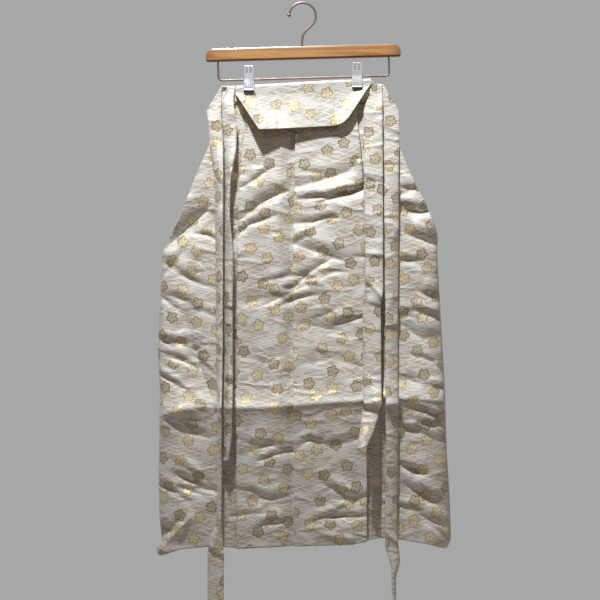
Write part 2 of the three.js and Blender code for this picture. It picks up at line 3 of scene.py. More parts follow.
import bpy
import numpy as np
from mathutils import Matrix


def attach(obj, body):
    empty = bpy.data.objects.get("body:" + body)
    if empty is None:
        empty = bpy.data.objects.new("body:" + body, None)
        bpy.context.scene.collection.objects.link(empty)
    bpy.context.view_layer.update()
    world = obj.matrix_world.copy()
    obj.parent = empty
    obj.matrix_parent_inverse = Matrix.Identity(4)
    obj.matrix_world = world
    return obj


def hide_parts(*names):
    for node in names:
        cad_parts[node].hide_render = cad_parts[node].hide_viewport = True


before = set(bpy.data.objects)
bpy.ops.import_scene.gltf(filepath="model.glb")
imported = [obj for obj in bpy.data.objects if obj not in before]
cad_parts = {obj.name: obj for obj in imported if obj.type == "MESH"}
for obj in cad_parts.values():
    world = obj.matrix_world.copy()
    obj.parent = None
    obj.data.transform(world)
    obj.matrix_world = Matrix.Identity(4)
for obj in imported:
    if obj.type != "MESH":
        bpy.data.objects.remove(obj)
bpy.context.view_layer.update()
mm = 0.001  # the tables below are in millimetres, in the frame's own axes
print("frame loaded")


def smoothStep(value, low, high):
    # 0 up to low, 1 from high, level at both ends
    share = np.clip((value - low) / (high - low), 0, 1)
    return share * share * (3 - 2 * share)


def column(table, names, name, place, soften=0.0):
    # the named column of a table whose first column is the place, read at every place asked,
    # then averaged over a stretch so that straight runs between the rows join softly
    rows = np.array(table, float)
    rows = rows[np.argsort(rows[:, 0])]
    values = rows[:, names.index(name)]
    if not soften:
        return np.interp(place, rows[:, 0], values)
    shifts = np.linspace(-soften, soften, 9)
    weights = 1 - np.abs(shifts) / (soften * 1.25)
    read = [np.interp(place + shift, rows[:, 0], values) for shift in shifts]
    return np.tensordot(weights / weights.sum(), np.array(read), 1)


def quadCorners(rows, columns, closed, flip):
    # four corners for each quad of a grid, whose last column joins the first where it is closed
    last = columns if closed else columns - 1
    j, i = np.meshgrid(np.arange(rows - 1), np.arange(last), indexing="ij")
    right = (i + 1) % columns
    low, high = j * columns, (j + 1) * columns
    corners = np.stack([low + i, low + right, high + right, high + i], -1).reshape(-1, 4)
    return corners[:, ::-1] if flip else corners


def linked(name, data):
    made = bpy.data.objects.new(name, data)
    bpy.context.scene.collection.objects.link(made)
    return made


def meshPiece(name, points, faces, material):
    mesh = bpy.data.meshes.new(name)
    mesh.from_pydata((points.reshape(-1, 3) * mm).tolist(), [], faces)
    mesh.polygons.foreach_set("use_smooth", np.ones(len(mesh.polygons), bool))
    mesh.materials.append(material)
    mesh.update()
    return linked(name, mesh)


def gridPiece(name, points, uv, material, flip=False):
    # rows x columns of points made a sheet of quads, with a UV map in metres
    corners = quadCorners(*points.shape[:2], False, flip)
    piece = meshPiece(name, points, corners.tolist(), material)
    layer = piece.data.uv_layers.new(name="cloth")
    layer.data.foreach_set("uv", (uv.reshape(-1, 2)[corners.ravel()] * mm).ravel())
    return piece


def closedGrid(name, points, material, flip=False):
    # rows of rings, with the first and last ring closed by one face each
    rows, columns = points.shape[:2]
    faces = quadCorners(rows, columns, True, flip).tolist()
    first = list(range(columns))
    end = list(range((rows - 1) * columns, rows * columns))
    faces += [first, end[::-1]] if flip else [first[::-1], end]
    return meshPiece(name, points, faces, material)


def thicken(piece, wall):
    # half of the wall on each side of the surface
    solid = piece.modifiers.new("wall", "SOLIDIFY")
    solid.thickness = wall * mm
    solid.offset = 0.0
    solid.use_even_offset = False
    return piece


def settle(piece, node):
    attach(piece, "root")
    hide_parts(node)


def addNode(tree, kind, fixed=None, **inputs):
    # one node, its settings, and its inputs: a number, a colour, or another node's output
    node = tree.nodes.new("ShaderNode" + kind)
    for name, value in (fixed or {}).items():
        setattr(node, name, value)
    for name, value in inputs.items():
        socket = node.inputs[int(name[1:]) if name[0] == "i" and name[1:].isdigit() else name]
        if isinstance(value, bpy.types.NodeSocket):
            tree.links.new(value, socket)
        else:
            socket.default_value = value
    return node


def newMaterial(name):
    material = bpy.data.materials.new(name)
    material.use_nodes = True
    return material, material.node_tree, material.node_tree.nodes["Principled BSDF"]


view = {
    "middle": (-4.6, -548.0),  # X and Z that the camera looks at
    "distance": 2400.0,
    "width": 1110.0,  # what it takes in at the trousers
    "floor": -1700.0,  # a rail hangs about this high
    "floorRadius": 1600.0,
    "floorColour": (0.6, 0.6, 0.59),
    "backdrop": (0.385, 0.392, 0.39),  # what the camera sees
    "glow": (0.100, 0.070, 0.043),  # light that comes from all round
    "mirrored": (0.54, 0.54, 0.555),  # what polished metal shows
}
lamps = [  # name, place, size, watts, colour, aimed at
    ("key", (-0.27, -0.79, 1.15), 0.12, 48, (0.98, 0.992, 1.0), (0.0, 0.0, 0.45)),
    ("leftFill", (-1.5, -0.7, 0.3), 0.5, 0.4, (1.0, 0.95, 0.88), (0.0, 0.0, -0.5)),
    ("rightFill", (1.5, -0.7, 0.3), 0.5, 1.4, (1.0, 0.95, 0.88), (0.0, 0.0, -0.5)),
    ("backKey", (-0.2, 1.1, 1.1), 0.35, 36, (1.0, 0.995, 0.99), (0.0, 0.0, -0.4)),
]


def makeView():
    camera = linked("camera", bpy.data.cameras.new("camera"))
    camera.location = (view["middle"][0] * mm, -view["distance"] * mm, view["middle"][1] * mm)
    camera.rotation_euler = (math.pi / 2, 0, 0)
    camera.data.sensor_fit = "HORIZONTAL"
    camera.data.angle = 2 * math.atan(view["width"] / 2 / view["distance"])
    bpy.context.scene.camera = camera

    # one tone where the camera looks past the object, one in polished metal, one all round
    world = bpy.data.worlds.new("room")
    world.use_nodes = True
    tree = world.node_tree
    seen = tree.nodes["Background"]
    seen.inputs["Color"].default_value = (*view["backdrop"], 1)
    glow, mirrored = (
        addNode(tree, "Background", Color=(*view[light], 1)).outputs[0] for light in ("glow", "mirrored")
    )
    path = addNode(tree, "LightPath").outputs
    lit = addNode(tree, "MixShader", i0=path["Is Glossy Ray"], i1=glow, i2=mirrored).outputs[0]
    chosen = addNode(tree, "MixShader", i0=path["Is Camera Ray"], i1=lit, i2=seen.outputs[0])
    tree.links.new(chosen.outputs[0], tree.nodes["World Output"].inputs["Surface"])
    bpy.context.scene.world = world
    bpy.context.scene.view_settings.view_transform = "Standard"

    for name, place, size, watts, colour, aim in lamps:
        lamp = linked(name, bpy.data.lights.new(name, "AREA"))
        lamp.data.size = size
        lamp.data.energy = watts
        lamp.data.color = colour
        lamp.location = place
        x, y, z = np.array(place) - np.array(aim)
        lamp.rotation_euler = (math.atan2(math.hypot(x, y), z), 0, math.atan2(x, -y))

    ring = np.linspace(0, 2 * math.pi, 65)[:-1]
    radius = view["floorRadius"] * mm
    edge = np.stack([radius * np.cos(ring), radius * np.sin(ring), 0 * ring + view["floor"] * mm], -1)
    mesh = bpy.data.meshes.new("floor")
    mesh.from_pydata(edge.tolist(), [], [tuple(range(len(ring)))])
    paint, _, shader = newMaterial("paleFloor")
    shader.inputs["Base Color"].default_value = (*view["floorColour"], 1)
    mesh.materials.append(paint)
    floor = linked("floor", mesh)


makeView()
print("camera, light and floor ready")


def calc(operation, *values):
    # one sum, in the tree that the first output among its values belongs to
    tree = next(value.id_data for value in values if isinstance(value, bpy.types.NodeSocket))
    inputs = {f"i{k}": value for k, value in enumerate(values)}
    return addNode(tree, "Math", {"operation": operation}, **inputs).outputs[0]


def plus(first, second):
    return calc("ADD", first, second)


def minus(first, second):
    return calc("SUBTRACT", first, second)


def times(first, second):
    return calc("MULTIPLY", first, second)


def timesPlus(first, second, third):
    return calc("MULTIPLY_ADD", first, second, third)


def larger(first, second):
    return calc("MAXIMUM", first, second)


def apart(value, middle):
    # |value - middle|
    return calc("ABSOLUTE", minus(value, middle))


def inRepeat(value, pitch):
    # place within a repeat, 0 to 1
    return calc("FRACT", calc("DIVIDE", value, pitch))


def hypotenuse(first, second):
    return calc("SQRT", plus(calc("POWER", first, 2.0), calc("POWER", second, 2.0)))


def ramp(value, low, high, toLow=0.0, toHigh=1.0):
    # a soft step from one value to another
    fixed = {"interpolation_type": "SMOOTHSTEP"}
    names = {"Value": value, "From Min": low, "From Max": high, "To Min": toLow, "To Max": toHigh}
    return addNode(value.id_data, "MapRange", fixed, **names).outputs["Result"]


def blend(tree, share, first, second):
    fixed = {"data_type": "RGBA", "clamp_factor": True}
    return addNode(tree, "Mix", fixed, i0=share, i6=first, i7=second).outputs[2]


def axes(place):
    return addNode(place.id_data, "SeparateXYZ", i0=place).outputs


def stretched(place, scale):
    return addNode(place.id_data, "Mapping", None, Vector=place, Scale=scale).outputs[0]


def noise(place, scale, detail, fixed=None, **more):
    node = addNode(place.id_data, "TexNoise", fixed, Vector=place, Scale=scale, Detail=detail, **more)
    return node.outputs["Fac"]


def bumped(height, strength, distance, **under):
    settings = {"Strength": strength, "Distance": distance, "Height": height}
    return addNode(height.id_data, "Bump", None, **settings, **under).outputs[0]


def feed(shader, **values):
    # another node's output for each named input of the shader, where Base Color is written base
    for name, value in values.items():
        shader.id_data.links.new(value, shader.inputs["Base Color" if name == "base" else name])


flatNoise = {"noise_dimensions": "2D"}
real, vector = "NodeSocketFloat", "NodeSocketVector"


def newGroup(name, inputs, outputs):
    tree = bpy.data.node_groups.new(name, "ShaderNodeTree")
    for label, kind, value in inputs:
        socket = tree.interface.new_socket(name=label, in_out="INPUT", socket_type=kind)
        if value is not None:
            socket.default_value = value
    for label in outputs:
        tree.interface.new_socket(name=label, in_out="OUTPUT", socket_type=real)
    return tree, tree.nodes.new("NodeGroupInput").outputs, tree.nodes.new("NodeGroupOutput").inputs


def giveOut(tree, out, **values):
    for name, value in values.items():
        tree.links.new(value, out[name])


def plumBlossoms():
    # five round petals round the nearest of many scattered middles, each turned its own way
    inputs = [("Place", vector, None), ("Spacing", real, 0.041), ("Radius", real, 0.0114)]
    tree, given, out = newGroup("plumBlossoms", inputs, ["Petals", "Lines", "Chance", "Height"])
    perSpacing = calc("DIVIDE", 1.0, given["Spacing"])
    zAxis, scale = {"rotation_type": "Z_AXIS"}, {"operation": "SCALE"}
    slanted = addNode(tree, "VectorRotate", zAxis, Vector=given["Place"], Angle=0.45).outputs[0]
    scaled = addNode(tree, "VectorMath", scale, i0=slanted, Scale=perSpacing).outputs[0]
    flat = {"voronoi_dimensions": "2D"}
    cells = addNode(tree, "TexVoronoi", flat, Vector=scaled, Scale=1.0, Randomness=0.5).outputs
    local = addNode(tree, "VectorMath", {"operation": "SUBTRACT"}, i0=scaled, i1=cells["Position"])
    inRadii = calc("DIVIDE", given["Spacing"], given["Radius"])
    local = addNode(tree, "VectorMath", scale, i0=local.outputs[0], Scale=inRadii)
    turn = times(cells["Color"], 6.283)
    turned = addNode(tree, "VectorRotate", zAxis, Vector=local.outputs[0], Angle=turn)
    parts = axes(turned.outputs[0])
    distance = hypotenuse(parts[0], parts[1])
    # fold the plane into one fifth, so that one round petal stands for all five
    fifthTurn = 2 * math.pi / 5
    fifth = calc("DIVIDE", calc("ARCTAN2", parts[1], parts[0]), fifthTurn)
    within = times(minus(fifth, calc("ROUND", fifth)), fifthTurn)
    along = minus(times(distance, calc("COSINE", within)), 0.6)
    across = times(distance, calc("SINE", within))
    fromPetal = hypotenuse(along, across)
    petals = ramp(fromPetal, 0.43, 0.39)
    outline = times(times(ramp(fromPetal, 0.22, 0.28), petals), ramp(distance, 0.4, 0.52))
    vein = times(ramp(calc("ABSOLUTE", across), 0.05, 0.02), ramp(fromPetal, 0.17, 0.13))
    eye = ramp(distance, 0.15, 0.1)
    reach = timesPlus(calc("COSINE", within), distance, -0.31)
    stamens = ramp(hypotenuse(reach, across), 0.075, 0.045)
    lines = larger(larger(outline, vein), larger(eye, stamens))
    whole = larger(petals, ramp(distance, 0.42, 0.36))
    chance = addNode(tree, "SeparateColor", None, Color=cells["Color"]).outputs["Green"]
    giveOut(tree, out, Petals=whole, Lines=lines, Chance=chance)
    giveOut(tree, out, Height=timesPlus(lines, 0.6, times(whole, 0.4)))
    return tree


def flowingWater():
    # two families of thin level lines that swing past each other, so that they part and meet in
    # long lens shapes, and slanting rows of small loops gathered here and there
    inputs = [
        ("Place", vector, None), ("Pitch", real, 0.0084), ("Swing", real, 0.0034), ("Drift", real, 0.028),
    ]
    tree, given, out = newGroup("flowingWater", inputs, ["Lines", "Loops"])
    place = given["Place"]
    parts = axes(place)
    broad = noise(stretched(place, (7.0, 15.0, 1.0)), 1.0, 1.5, flatNoise)
    drifted = timesPlus(broad, given["Drift"], parts[1])
    wander = noise(stretched(place, (13.0, 45.0, 1.0)), 1.0, 1.0, flatNoise)
    bend = timesPlus(wander, 4.5, times(parts[0], 112.0))
    swing = times(calc("SINE", bend), given["Swing"])
    families = []
    for sign in (1.0, -1.0):
        phase = inRepeat(timesPlus(swing, sign, drifted), given["Pitch"])
        families.append(ramp(apart(phase, 0.5), 0.088, 0.045))
    shown = ramp(noise(place, 24.0, 1.0, flatNoise), 0.3, 0.5, 0.6, 1.0)
    lines = times(larger(*families), shown)
    slant = timesPlus(parts[0], 0.22, parts[1])
    lean = timesPlus(slant, 0.7, parts[0])
    loopMiddle = hypotenuse(apart(inRepeat(slant, 0.0046), 0.5), apart(inRepeat(lean, 0.0036), 0.5))
    gathered = ramp(noise(stretched(place, (26.0, 70.0, 1.0)), 1.0, 0.0, flatNoise), 0.57, 0.585)
    loops = times(ramp(apart(loopMiddle, 0.27), 0.2, 0.1), gathered)
    giveOut(tree, out, Lines=times(lines, minus(1.0, gathered)), Loops=loops)
    return tree


def clothGrain():
    # warp and weft threads, a slow change of tone, and a soft crumple that runs mostly level
    inputs = [("Place", vector, None), ("Thread", real, 0.0009)]
    tree, given, out = newGroup("clothGrain", inputs, ["Weave", "Tone", "Crumple"])
    place = given["Place"]
    parts = axes(place)
    perThread = calc("DIVIDE", 6.283, given["Thread"])
    warp, weft = (calc("SINE", times(part, perThread)) for part in (parts[0], parts[1]))
    ridged = {**flatNoise, "noise_type": "RIDGED_MULTIFRACTAL"}
    level = stretched(place, (17.0, 40.0, 1.0))
    giveOut(tree, out, Weave=times(warp, weft), Tone=noise(place, 30.0, 4.0, flatNoise))
    giveOut(tree, out, Crumple=noise(level, 1.0, 2.5, ridged, Roughness=0.45, Distortion=0.6))
    return tree


blossomGroup, waterGroup, grainGroup = plumBlossoms(), flowingWater(), clothGrain()

silk = {
    "ground": (0.585, 0.557, 0.493, 1),
    "shade": (0.51, 0.472, 0.405, 1),
    "line": (1.0, 1.0, 0.985, 1),
    # the blossoms' bright and dull gold fill and their lighter outlines are painted glint and painted shade
    # on the gold thread
    "gold": (0.88, 0.78, 0.52, 1),
    "shadedGold": (0.48, 0.39, 0.23, 1),
    "goldLine": (0.235, 0.155, 0.06, 1),
    "glintLine": (0.44, 0.31, 0.12, 1),
    "stitch": (0.30, 0.24, 0.15, 1),
    "stitchInset": 0.0022,
    "stitchPitch": 0.0032,
    "blossomSpacing": 0.041,
    "blossomRadius": 0.0114,
}


def brocade(name, shift=(0.0, 0.0), stitchedHalf=None, crumple=0.46, tone=1.0):
    # ivory ground, white ripples, gold blossoms, and a row of stitches where the piece is a tie;
    # painted shade darkens it all where tone is below 1
    material, tree, shader = newMaterial(name)
    cloth = addNode(tree, "UVMap", {"uv_map": "cloth"}).outputs[0]
    place = addNode(tree, "Mapping", None, Vector=cloth, Location=(*shift, 0)).outputs[0]
    sizes = {"Spacing": silk["blossomSpacing"], "Radius": silk["blossomRadius"]}
    blossoms = addNode(tree, "Group", {"node_tree": blossomGroup}, Place=place, **sizes).outputs
    water = addNode(tree, "Group", {"node_tree": waterGroup}, Place=place).outputs
    grain = addNode(tree, "Group", {"node_tree": grainGroup}, Place=place).outputs
    petals, lines, chance = (blossoms[part] for part in ("Petals", "Lines", "Chance"))
    colour = blend(tree, ramp(grain["Tone"], 0.4, 0.62), silk["shade"], silk["ground"])
    woven = times(larger(water["Lines"], water["Loops"]), minus(1.0, petals))
    colour = blend(tree, times(woven, 0.8), colour, silk["line"])
    # each blossom is made bright or dull at random: painted glint on the bright ones and their outlines,
    # painted shade on the dull ones
    paintedGlint = ramp(chance, 0.15, 0.7)
    filling = blend(tree, paintedGlint, silk["shadedGold"], silk["gold"])
    drawn = blend(tree, paintedGlint, silk["goldLine"], silk["glintLine"])
    colour = blend(tree, times(petals, ramp(chance, 0.0, 1.0, 0.26, 0.56)), colour, filling)
    colour = blend(tree, times(lines, 0.95), colour, drawn)
    # painted shade: the whole cloth darkened by 1 - tone
    colour = blend(tree, 1.0 - tone, colour, (0.0, 0.0, 0.0, 1.0))
    height = timesPlus(blossoms["Height"], 0.6, times(grain["Weave"], 0.1))
    height = timesPlus(woven, 0.45, height)
    if stitchedHalf:
        # a groove along each edge, with pale stitches in it
        parts = axes(cloth)
        inward = minus(stitchedHalf, calc("ABSOLUTE", parts[0]))
        groove = ramp(apart(inward, silk["stitchInset"]), 0.0009, 0.0002)
        dash = ramp(inRepeat(parts[1], silk["stitchPitch"]), 0.62, 0.7)
        height = timesPlus(groove, -1.2, height)
        colour = blend(tree, times(groove, 0.5), colour, silk["stitch"])
        colour = blend(tree, times(minus(groove, dash), 0.5), colour, silk["line"])
    soft = bumped(grain["Crumple"], crumple, 0.006)
    rough = timesPlus(woven, -0.08, timesPlus(petals, -0.06, 0.44))
    metal = larger(times(petals, times(chance, 0.4)), times(lines, 0.7))
    normal = bumped(height, 0.6, 0.0006, Normal=soft)
    feed(shader, base=colour, Normal=normal, Roughness=rough, Metallic=metal)
    shader.inputs["Sheen Weight"].default_value = 0.2
    shader.inputs["Sheen Roughness"].default_value = 0.35
    shader.inputs["Specular IOR Level"].default_value = 0.6
    shader.inputs["IOR"].default_value = 1.55
    return material


cloth = {
    "wall": 1.0,
    "pitch": 1.8,  # between two layers at the edge of a pleat
    "rowStep": 2.7,
    "waistTop": -182.0,
    "sewnTop": -170.0,  # the back's top row
    "hem": -1000.0,
    "openTo": -459.5,  # the side opening ends here
    "openTaper": 60.0,
    "crotch": -600.0,
    "sideSeam": 0.4,
    "backSeam": 5.0,
    "underLeft": 38.0,
    "underRight": 44.0,
    "underGap": 2.3,  # between the two halves behind the middle fold
    "outerX": 260.0,  # where the hem line is read for the outer edge
    "sideReach": 38.0,  # how far the side's curve runs in
}

# distances from the middle: the outer edge, the side part's edge and the centre part's edge
sideNames = ["z", "out", "side", "centre"]
leftSide = [
    (-182, 149.9, 124, 100), (-266.6, 173.2, 140, 110), (-328.2, 198.9, 145, 116),
    (-396.3, 224.2, 146, 118), (-438.6, 247.5, 147, 119), (-459.5, 258.1, 147, 119),
    (-637.1, 267.3, 147, 120), (-716.7, 263.1, 147, 120.3), (-851.7, 265.5, 147, 120.3),
    (-946.1, 264.4, 147, 120.3), (-988.6, 259.9, 147, 120.3), (-1005.3, 271.5, 147, 120.3),
    (-1020.1, 264.4, 147, 120.3),
]
rightSide = [
    (-182, 148, 122, 97), (-267.1, 177.6, 138, 107), (-331.9, 205.4, 143, 112),
    (-376.3, 228.5, 144, 114), (-431.8, 249.9, 145, 115), (-455.8, 248.3, 145, 115),
    (-596.4, 256.2, 145, 116), (-696.3, 262.3, 145, 117), (-833.2, 266.8, 145, 117.5),
    (-897.9, 271.4, 145, 117.5), (-988.6, 274.7, 145, 117.5), (-1007.1, 265.5, 145, 117.5),
]
# depths of the outer cloth in front and behind, of the pleats in front and behind, how far a
# fold reaches under its part, the step at the middle fold, and X of the middle and back folds
bodyNames = ["z", "front", "back", "stack", "tuck", "under", "step", "middle", "backFold"]
bodyForm = [
    (-150, -2.4, 5.4, 5, 3.6, 16, 0.3, -12, 8),
    (-182, -2.4, 6.8, 5, 3.7, 16, 0.3, -12, 9),
    (-266, -8, 11, 6, 5, 18, 3, -13.5, 13),
    (-330, -12, 14, 6.5, 6, 20, 4, -14.5, 17),
    (-460, -18, 19, 7, 7, 22, 5, -17, 22),
    (-739, -26, 27, 8, 9, 24, 6, -16, 32),
    (-1020, -34, 34, 9, 11, 26, 6, -13.9, 42),
]
hemNames = ["x", "z"]
hemLine = [
    (-264.4, -1020.1), (-225.5, -1004.7), (-171.1, -999.7), (-117.5, -1003.4), (-10.2, -999),
    (89.7, -996), (148.9, -983.1), (176.7, -985.9), (231.3, -995.3), (265.5, -1007.1),
]

# listed creases: the points of the valley, how deep, how wide above and below it, and the
# height of the ridge below it. A negative depth is a ridge.
frontCreases = [
    ([(-127, -411), (-75, -369), (-14, -339)], 7, 16, 10, 3),
    ([(-127, -437), (-99, -410), (-53, -395)], 4, 9, 8, 2),
    ([(-12, -341), (32, -328), (86, -311), (112, -275)], 4, 13, 8, 2),
    ([(-10, -363), (82, -352), (117, -338)], 4.4, 7, 9, 2),
    ([(62, -352), (92, -349), (118, -340)], 5, 8, 8, 1.5),
    ([(-23, -443), (16, -456), (82, -480)], 4.5, 13, 10, 2),
    ([(97, -469), (140, -469)], 3, 8, 8, 1),
    ([(-178, -385), (-212, -415), (-256, -457)], 11, 20, 12, 4),
    ([(-221, -461), (-260, -508)], 5, 12, 9, 2),
    ([(-217, -570), (-196, -650), (-158, -752)], 6, 16, 12, 2.5),
    ([(-230, -868), (-188, -887)], 6, 11, 9, 2.5),
    ([(-206, -946), (-249, -992)], -6, 9, 9, 0),
    ([(-222, -948), (-262, -985)], 4.5, 9, 9, 0),
    ([(175, -339), (214, -347)], 7, 12, 9, 3),
    ([(180, -382), (227, -387)], 8, 15, 10, 3),
    ([(193, -426), (245, -447)], 8, 15, 10, 3.5),
    ([(214, -533), (251, -550)], 6, 13, 10, 2.5),
    ([(180, -687), (208, -700)], 4.5, 11, 9, 2),
    ([(186, -854), (221, -865)], 6, 11, 9, 2.5),
    ([(193, -889), (245, -924)], 7, 13, 9, 3),
    ([(217, -942), (262, -965)], 6, 11, 9, 2.5),
    ([(60, -880), (98, -900), (118, -890)], -4, 14, 12, 0),
    ([(36, -975), (90, -985), (140, -975)], -4, 16, 12, 0),
    ([(-118, -560), (-60, -540), (-16, -552)], 2.2, 14, 12, 1),
    ([(-116, -650), (-70, -664), (-18, -640)], 2, 16, 12, 1),
    ([(-5, -590), (60, -604), (112, -585)], 2.4, 14, 12, 1),
    ([(-8, -668), (50, -655), (114, -672)], 2.2, 16, 12, 1),
    ([(-110, -830), (-60, -812), (-18, -826)], 2.4, 14, 12, 1),
    ([(-112, -905), (-70, -925), (-20, -918)], 2.4, 14, 12, 1),
    ([(0, -800), (60, -815), (110, -800)], 2.4, 14, 12, 1),
    ([(-238, -620), (-205, -640), (-165, -632)], 3, 12, 10, 1.5),
    ([(-255, -760), (-215, -790), (-170, -800)], 3.4, 12, 10, 1.5),
    ([(175, -590), (220, -620), (250, -615)], 3.2, 12, 10, 1.5),
    ([(170, -780), (215, -790), (255, -810)], 3.2, 12, 10, 1.5),
]
backCreases = [
    ([(-200, -395), (-130, -360), (-45, -350)], 7, 18, 12, 3),
    ([(-215, -520), (-150, -500), (-60, -515)], 4, 16, 12, 2),
    ([(-240, -880), (-180, -860), (-90, -890)], 5, 16, 12, 2),
    ([(60, -330), (130, -360), (215, -420)], 7, 18, 12, 3),
    ([(70, -560), (150, -575), (230, -540)], 5, 16, 12, 2),
    ([(80, -650), (150, -630), (240, -655)], 3.5, 14, 12, 1.5),
    ([(60, -850), (140, -870), (240, -845)], 5, 16, 12, 2),
    ([(-230, -660), (-160, -640), (-60, -650)], 3.5, 14, 12, 1.5),
    ([(-235, -950), (-160, -930), (-80, -960)], 4, 14, 12, 2),
    ([(90, -940), (170, -960), (245, -930)], 4.5, 14, 12, 2),
]


def shortCreases(seed, count, across, down, rise):
    # short creases scattered over a part of the cloth, always in the same places
    random = np.random.default_rng(seed)
    made = []
    for _ in range(count):
        x, z = random.uniform(*across), random.uniform(*down)
        reach, slope = random.uniform(18, 42), random.normal(rise, 0.22)
        bend = random.normal(0, 4)
        line = [(x - reach, z - reach * slope), (x, z + bend), (x + reach, z + reach * slope)]
        deep, above, below = random.uniform(1.4, 3.8), random.uniform(5, 10), random.uniform(5, 8)
        made.append((line, deep, above, below, random.uniform(0.6, 2)))
    return made


frontCreases += shortCreases(11, 22, (-262, -172), (-980, -400), -0.45)
frontCreases += shortCreases(12, 24, (172, 262), (-975, -320), -0.35)
frontCreases += shortCreases(13, 14, (-105, 100), (-700, -300), 0.3)
frontCreases += shortCreases(14, 12, (-105, 100), (-975, -760), 0.1)
backCreases += shortCreases(15, 22, (-255, -50), (-980, -300), -0.2)
backCreases += shortCreases(16, 22, (60, 255), (-980, -300), 0.2)
creaseForm = {
    "strength": 1.45,
    "atEnds": 0.55,  # share of the depth at a crease's ends, and what its middle adds
    "inMiddle": 0.45,
    "width": 0.72,
    "power": 1.1,  # how pointed the valley is
    "lipAt": 1.7,  # how many widths above the valley its lip runs
}


def creaseDepth(creases, x, z):
    # each crease is a valley along its line: depth times e to the minus (distance over width) to
    # a power, growing from the ends by a half sine, less a bell-shaped lip that runs above it
    total = np.zeros(np.broadcast(x, z).shape)
    for line, deep, above, below, lip in creases:
        points = np.array(line, float)
        steps = np.diff(points, axis=0)
        lengths = np.hypot(steps[:, 0], steps[:, 1])
        reached = np.concatenate([[0], np.cumsum(lengths)])
        nearest = np.full(total.shape, 1e9)
        signed = np.zeros(total.shape)
        share = np.zeros(total.shape)
        for k in range(len(steps)):
            along = ((x - points[k, 0]) * steps[k, 0] + (z - points[k, 1]) * steps[k, 1]) / lengths[k] ** 2
            held = np.clip(along, 0, 1)
            dx = x - points[k, 0] - held * steps[k, 0]
            dz = z - points[k, 1] - held * steps[k, 1]
            distance = np.hypot(dx, dz)
            closer = distance < nearest
            nearest = np.where(closer, distance, nearest)
            up = np.sign(steps[k, 0] * dz - steps[k, 1] * dx) * np.sign(steps[k, 0])
            signed = np.where(closer, up * distance, signed)
            share = np.where(closer, (reached[k] + held * lengths[k]) / reached[-1], share)
        swell = creaseForm["atEnds"] + creaseForm["inMiddle"] * np.sin(math.pi * np.clip(share, 0, 1))
        width = np.where(signed > 0, above, below) * creaseForm["width"]
        valley = deep * np.exp(-((np.abs(nearest) / width) ** creaseForm["power"]))
        ends = np.clip(1.15 - np.abs(2 * share - 1) ** 4, 0, 1) * (np.abs(signed) > 0.93 * nearest)
        ridge = lip * np.exp(-(((signed - creaseForm["lipAt"] * above) / above) ** 2)) * ends
        total += (valley - ridge) * swell * creaseForm["strength"]
    return total


def softWaves(x, z, seed, tall=0.9):
    # a few long crossing sine ripples, so that no stretch of cloth is dead flat
    random = np.random.default_rng(seed)
    total = np.zeros(np.broadcast(x, z).shape)
    for _ in range(9):
        length = random.uniform(45, 150)
        heading = random.uniform(-0.9, 0.9)
        phase = random.uniform(0, 6.28)
        wave = (z * math.cos(heading) + x * math.sin(heading)) * 2 * math.pi / length + phase
        total += tall * random.uniform(0.3, 1.0) * (length / 150) * np.sin(wave)
    return total


storage = {
    "height": -739.0, "slope": 0.03, "wander": 1.6, "wanderLength": 37.0,
    "crest": 19.0, "fadeUp": 40.0, "fadeDown": 13.0,
    "lip": 7.0, "belly": 12.0,  # the crest below its edge: a sharp part and one that lasts
    "swing": 19.0, "swingOver": 261.0,  # how far the cloth hangs back from the fold to the hem
}


def storageRidge(z, x=0.0):
    # the crease left by folding the trousers for storage: a crest that dies away upwards, and
    # below it a sharper one on cloth that swings back steadily to the hem
    wander = storage["wander"] * np.sin(x / storage["wanderLength"])
    away = z - (storage["height"] + storage["slope"] * x + wander)
    above = storage["crest"] * np.exp(-np.abs(away) / storage["fadeUp"])
    sharp = storage["lip"] * np.exp(-np.abs(away) / storage["fadeDown"])
    swung = storage["swing"] * np.clip(away, -storage["swingOver"], 0) / storage["swingOver"]
    return -np.where(away > 0, above, sharp + storage["belly"] + swung)


def bodyAt(names, z):
    return [column(bodyForm, bodyNames, name, z, soften=18) for name in names.split()]


def hemDrop(x, z):
    # heights eased so that the lowest row follows the hem line
    share = np.clip((z - cloth["waistTop"]) / (cloth["hem"] - cloth["waistTop"]), 0, 1)
    low = column(hemLine, hemNames, "z", x, soften=9)
    return cloth["waistTop"] + (low - cloth["waistTop"]) * share


def segments(knots, counts):
    # knots (place across, depth) for every row, with each stretch cut into its count of steps
    across = []
    for start, end, count in zip(knots, knots[1:], counts):
        share = np.arange(count)[:, None] / count
        across.append(np.stack([a + (b - a) * share for a, b in zip(start, end)], -1))
    across.append(np.stack(knots[-1], -1)[None])
    return np.concatenate(across).swapaxes(0, 1)  # rows, columns, (u, y)


def foldEdge(edge, depth, pitch, heading):
    # a fold: the cloth turns back on itself round a small, slightly flat half circle
    turns = np.radians([-90, -45, 0, 45, 90])
    half = pitch / 2
    return [(edge + heading * half * (np.cos(t) - 1) * 0.6, depth + half + half * np.sin(t)) for t in turns]


def sideCurve(out, face, edge, reach):
    # a quarter of an ellipse from the side seam round to the face
    turns = np.radians([90, 75, 60, 45, 30, 15, 0])
    return [(out - reach + reach * np.sin(t), edge + (face - edge) * np.cos(t)) for t in turns]


def sideClosed(z):
    return 1 - smoothStep(z, cloth["openTo"], cloth["openTo"] + cloth["openTaper"])


def panelRows(top):
    count = int(round((top - cloth["hem"]) / cloth["rowStep"])) + 1
    return np.linspace(top, cloth["hem"], count)


def slitHalf(z):
    # half of the gap between the back panels, which widens from the crotch to the hem
    return (0.3 + 3 * smoothStep(-z, -cloth["crotch"], -cloth["hem"])) / 2


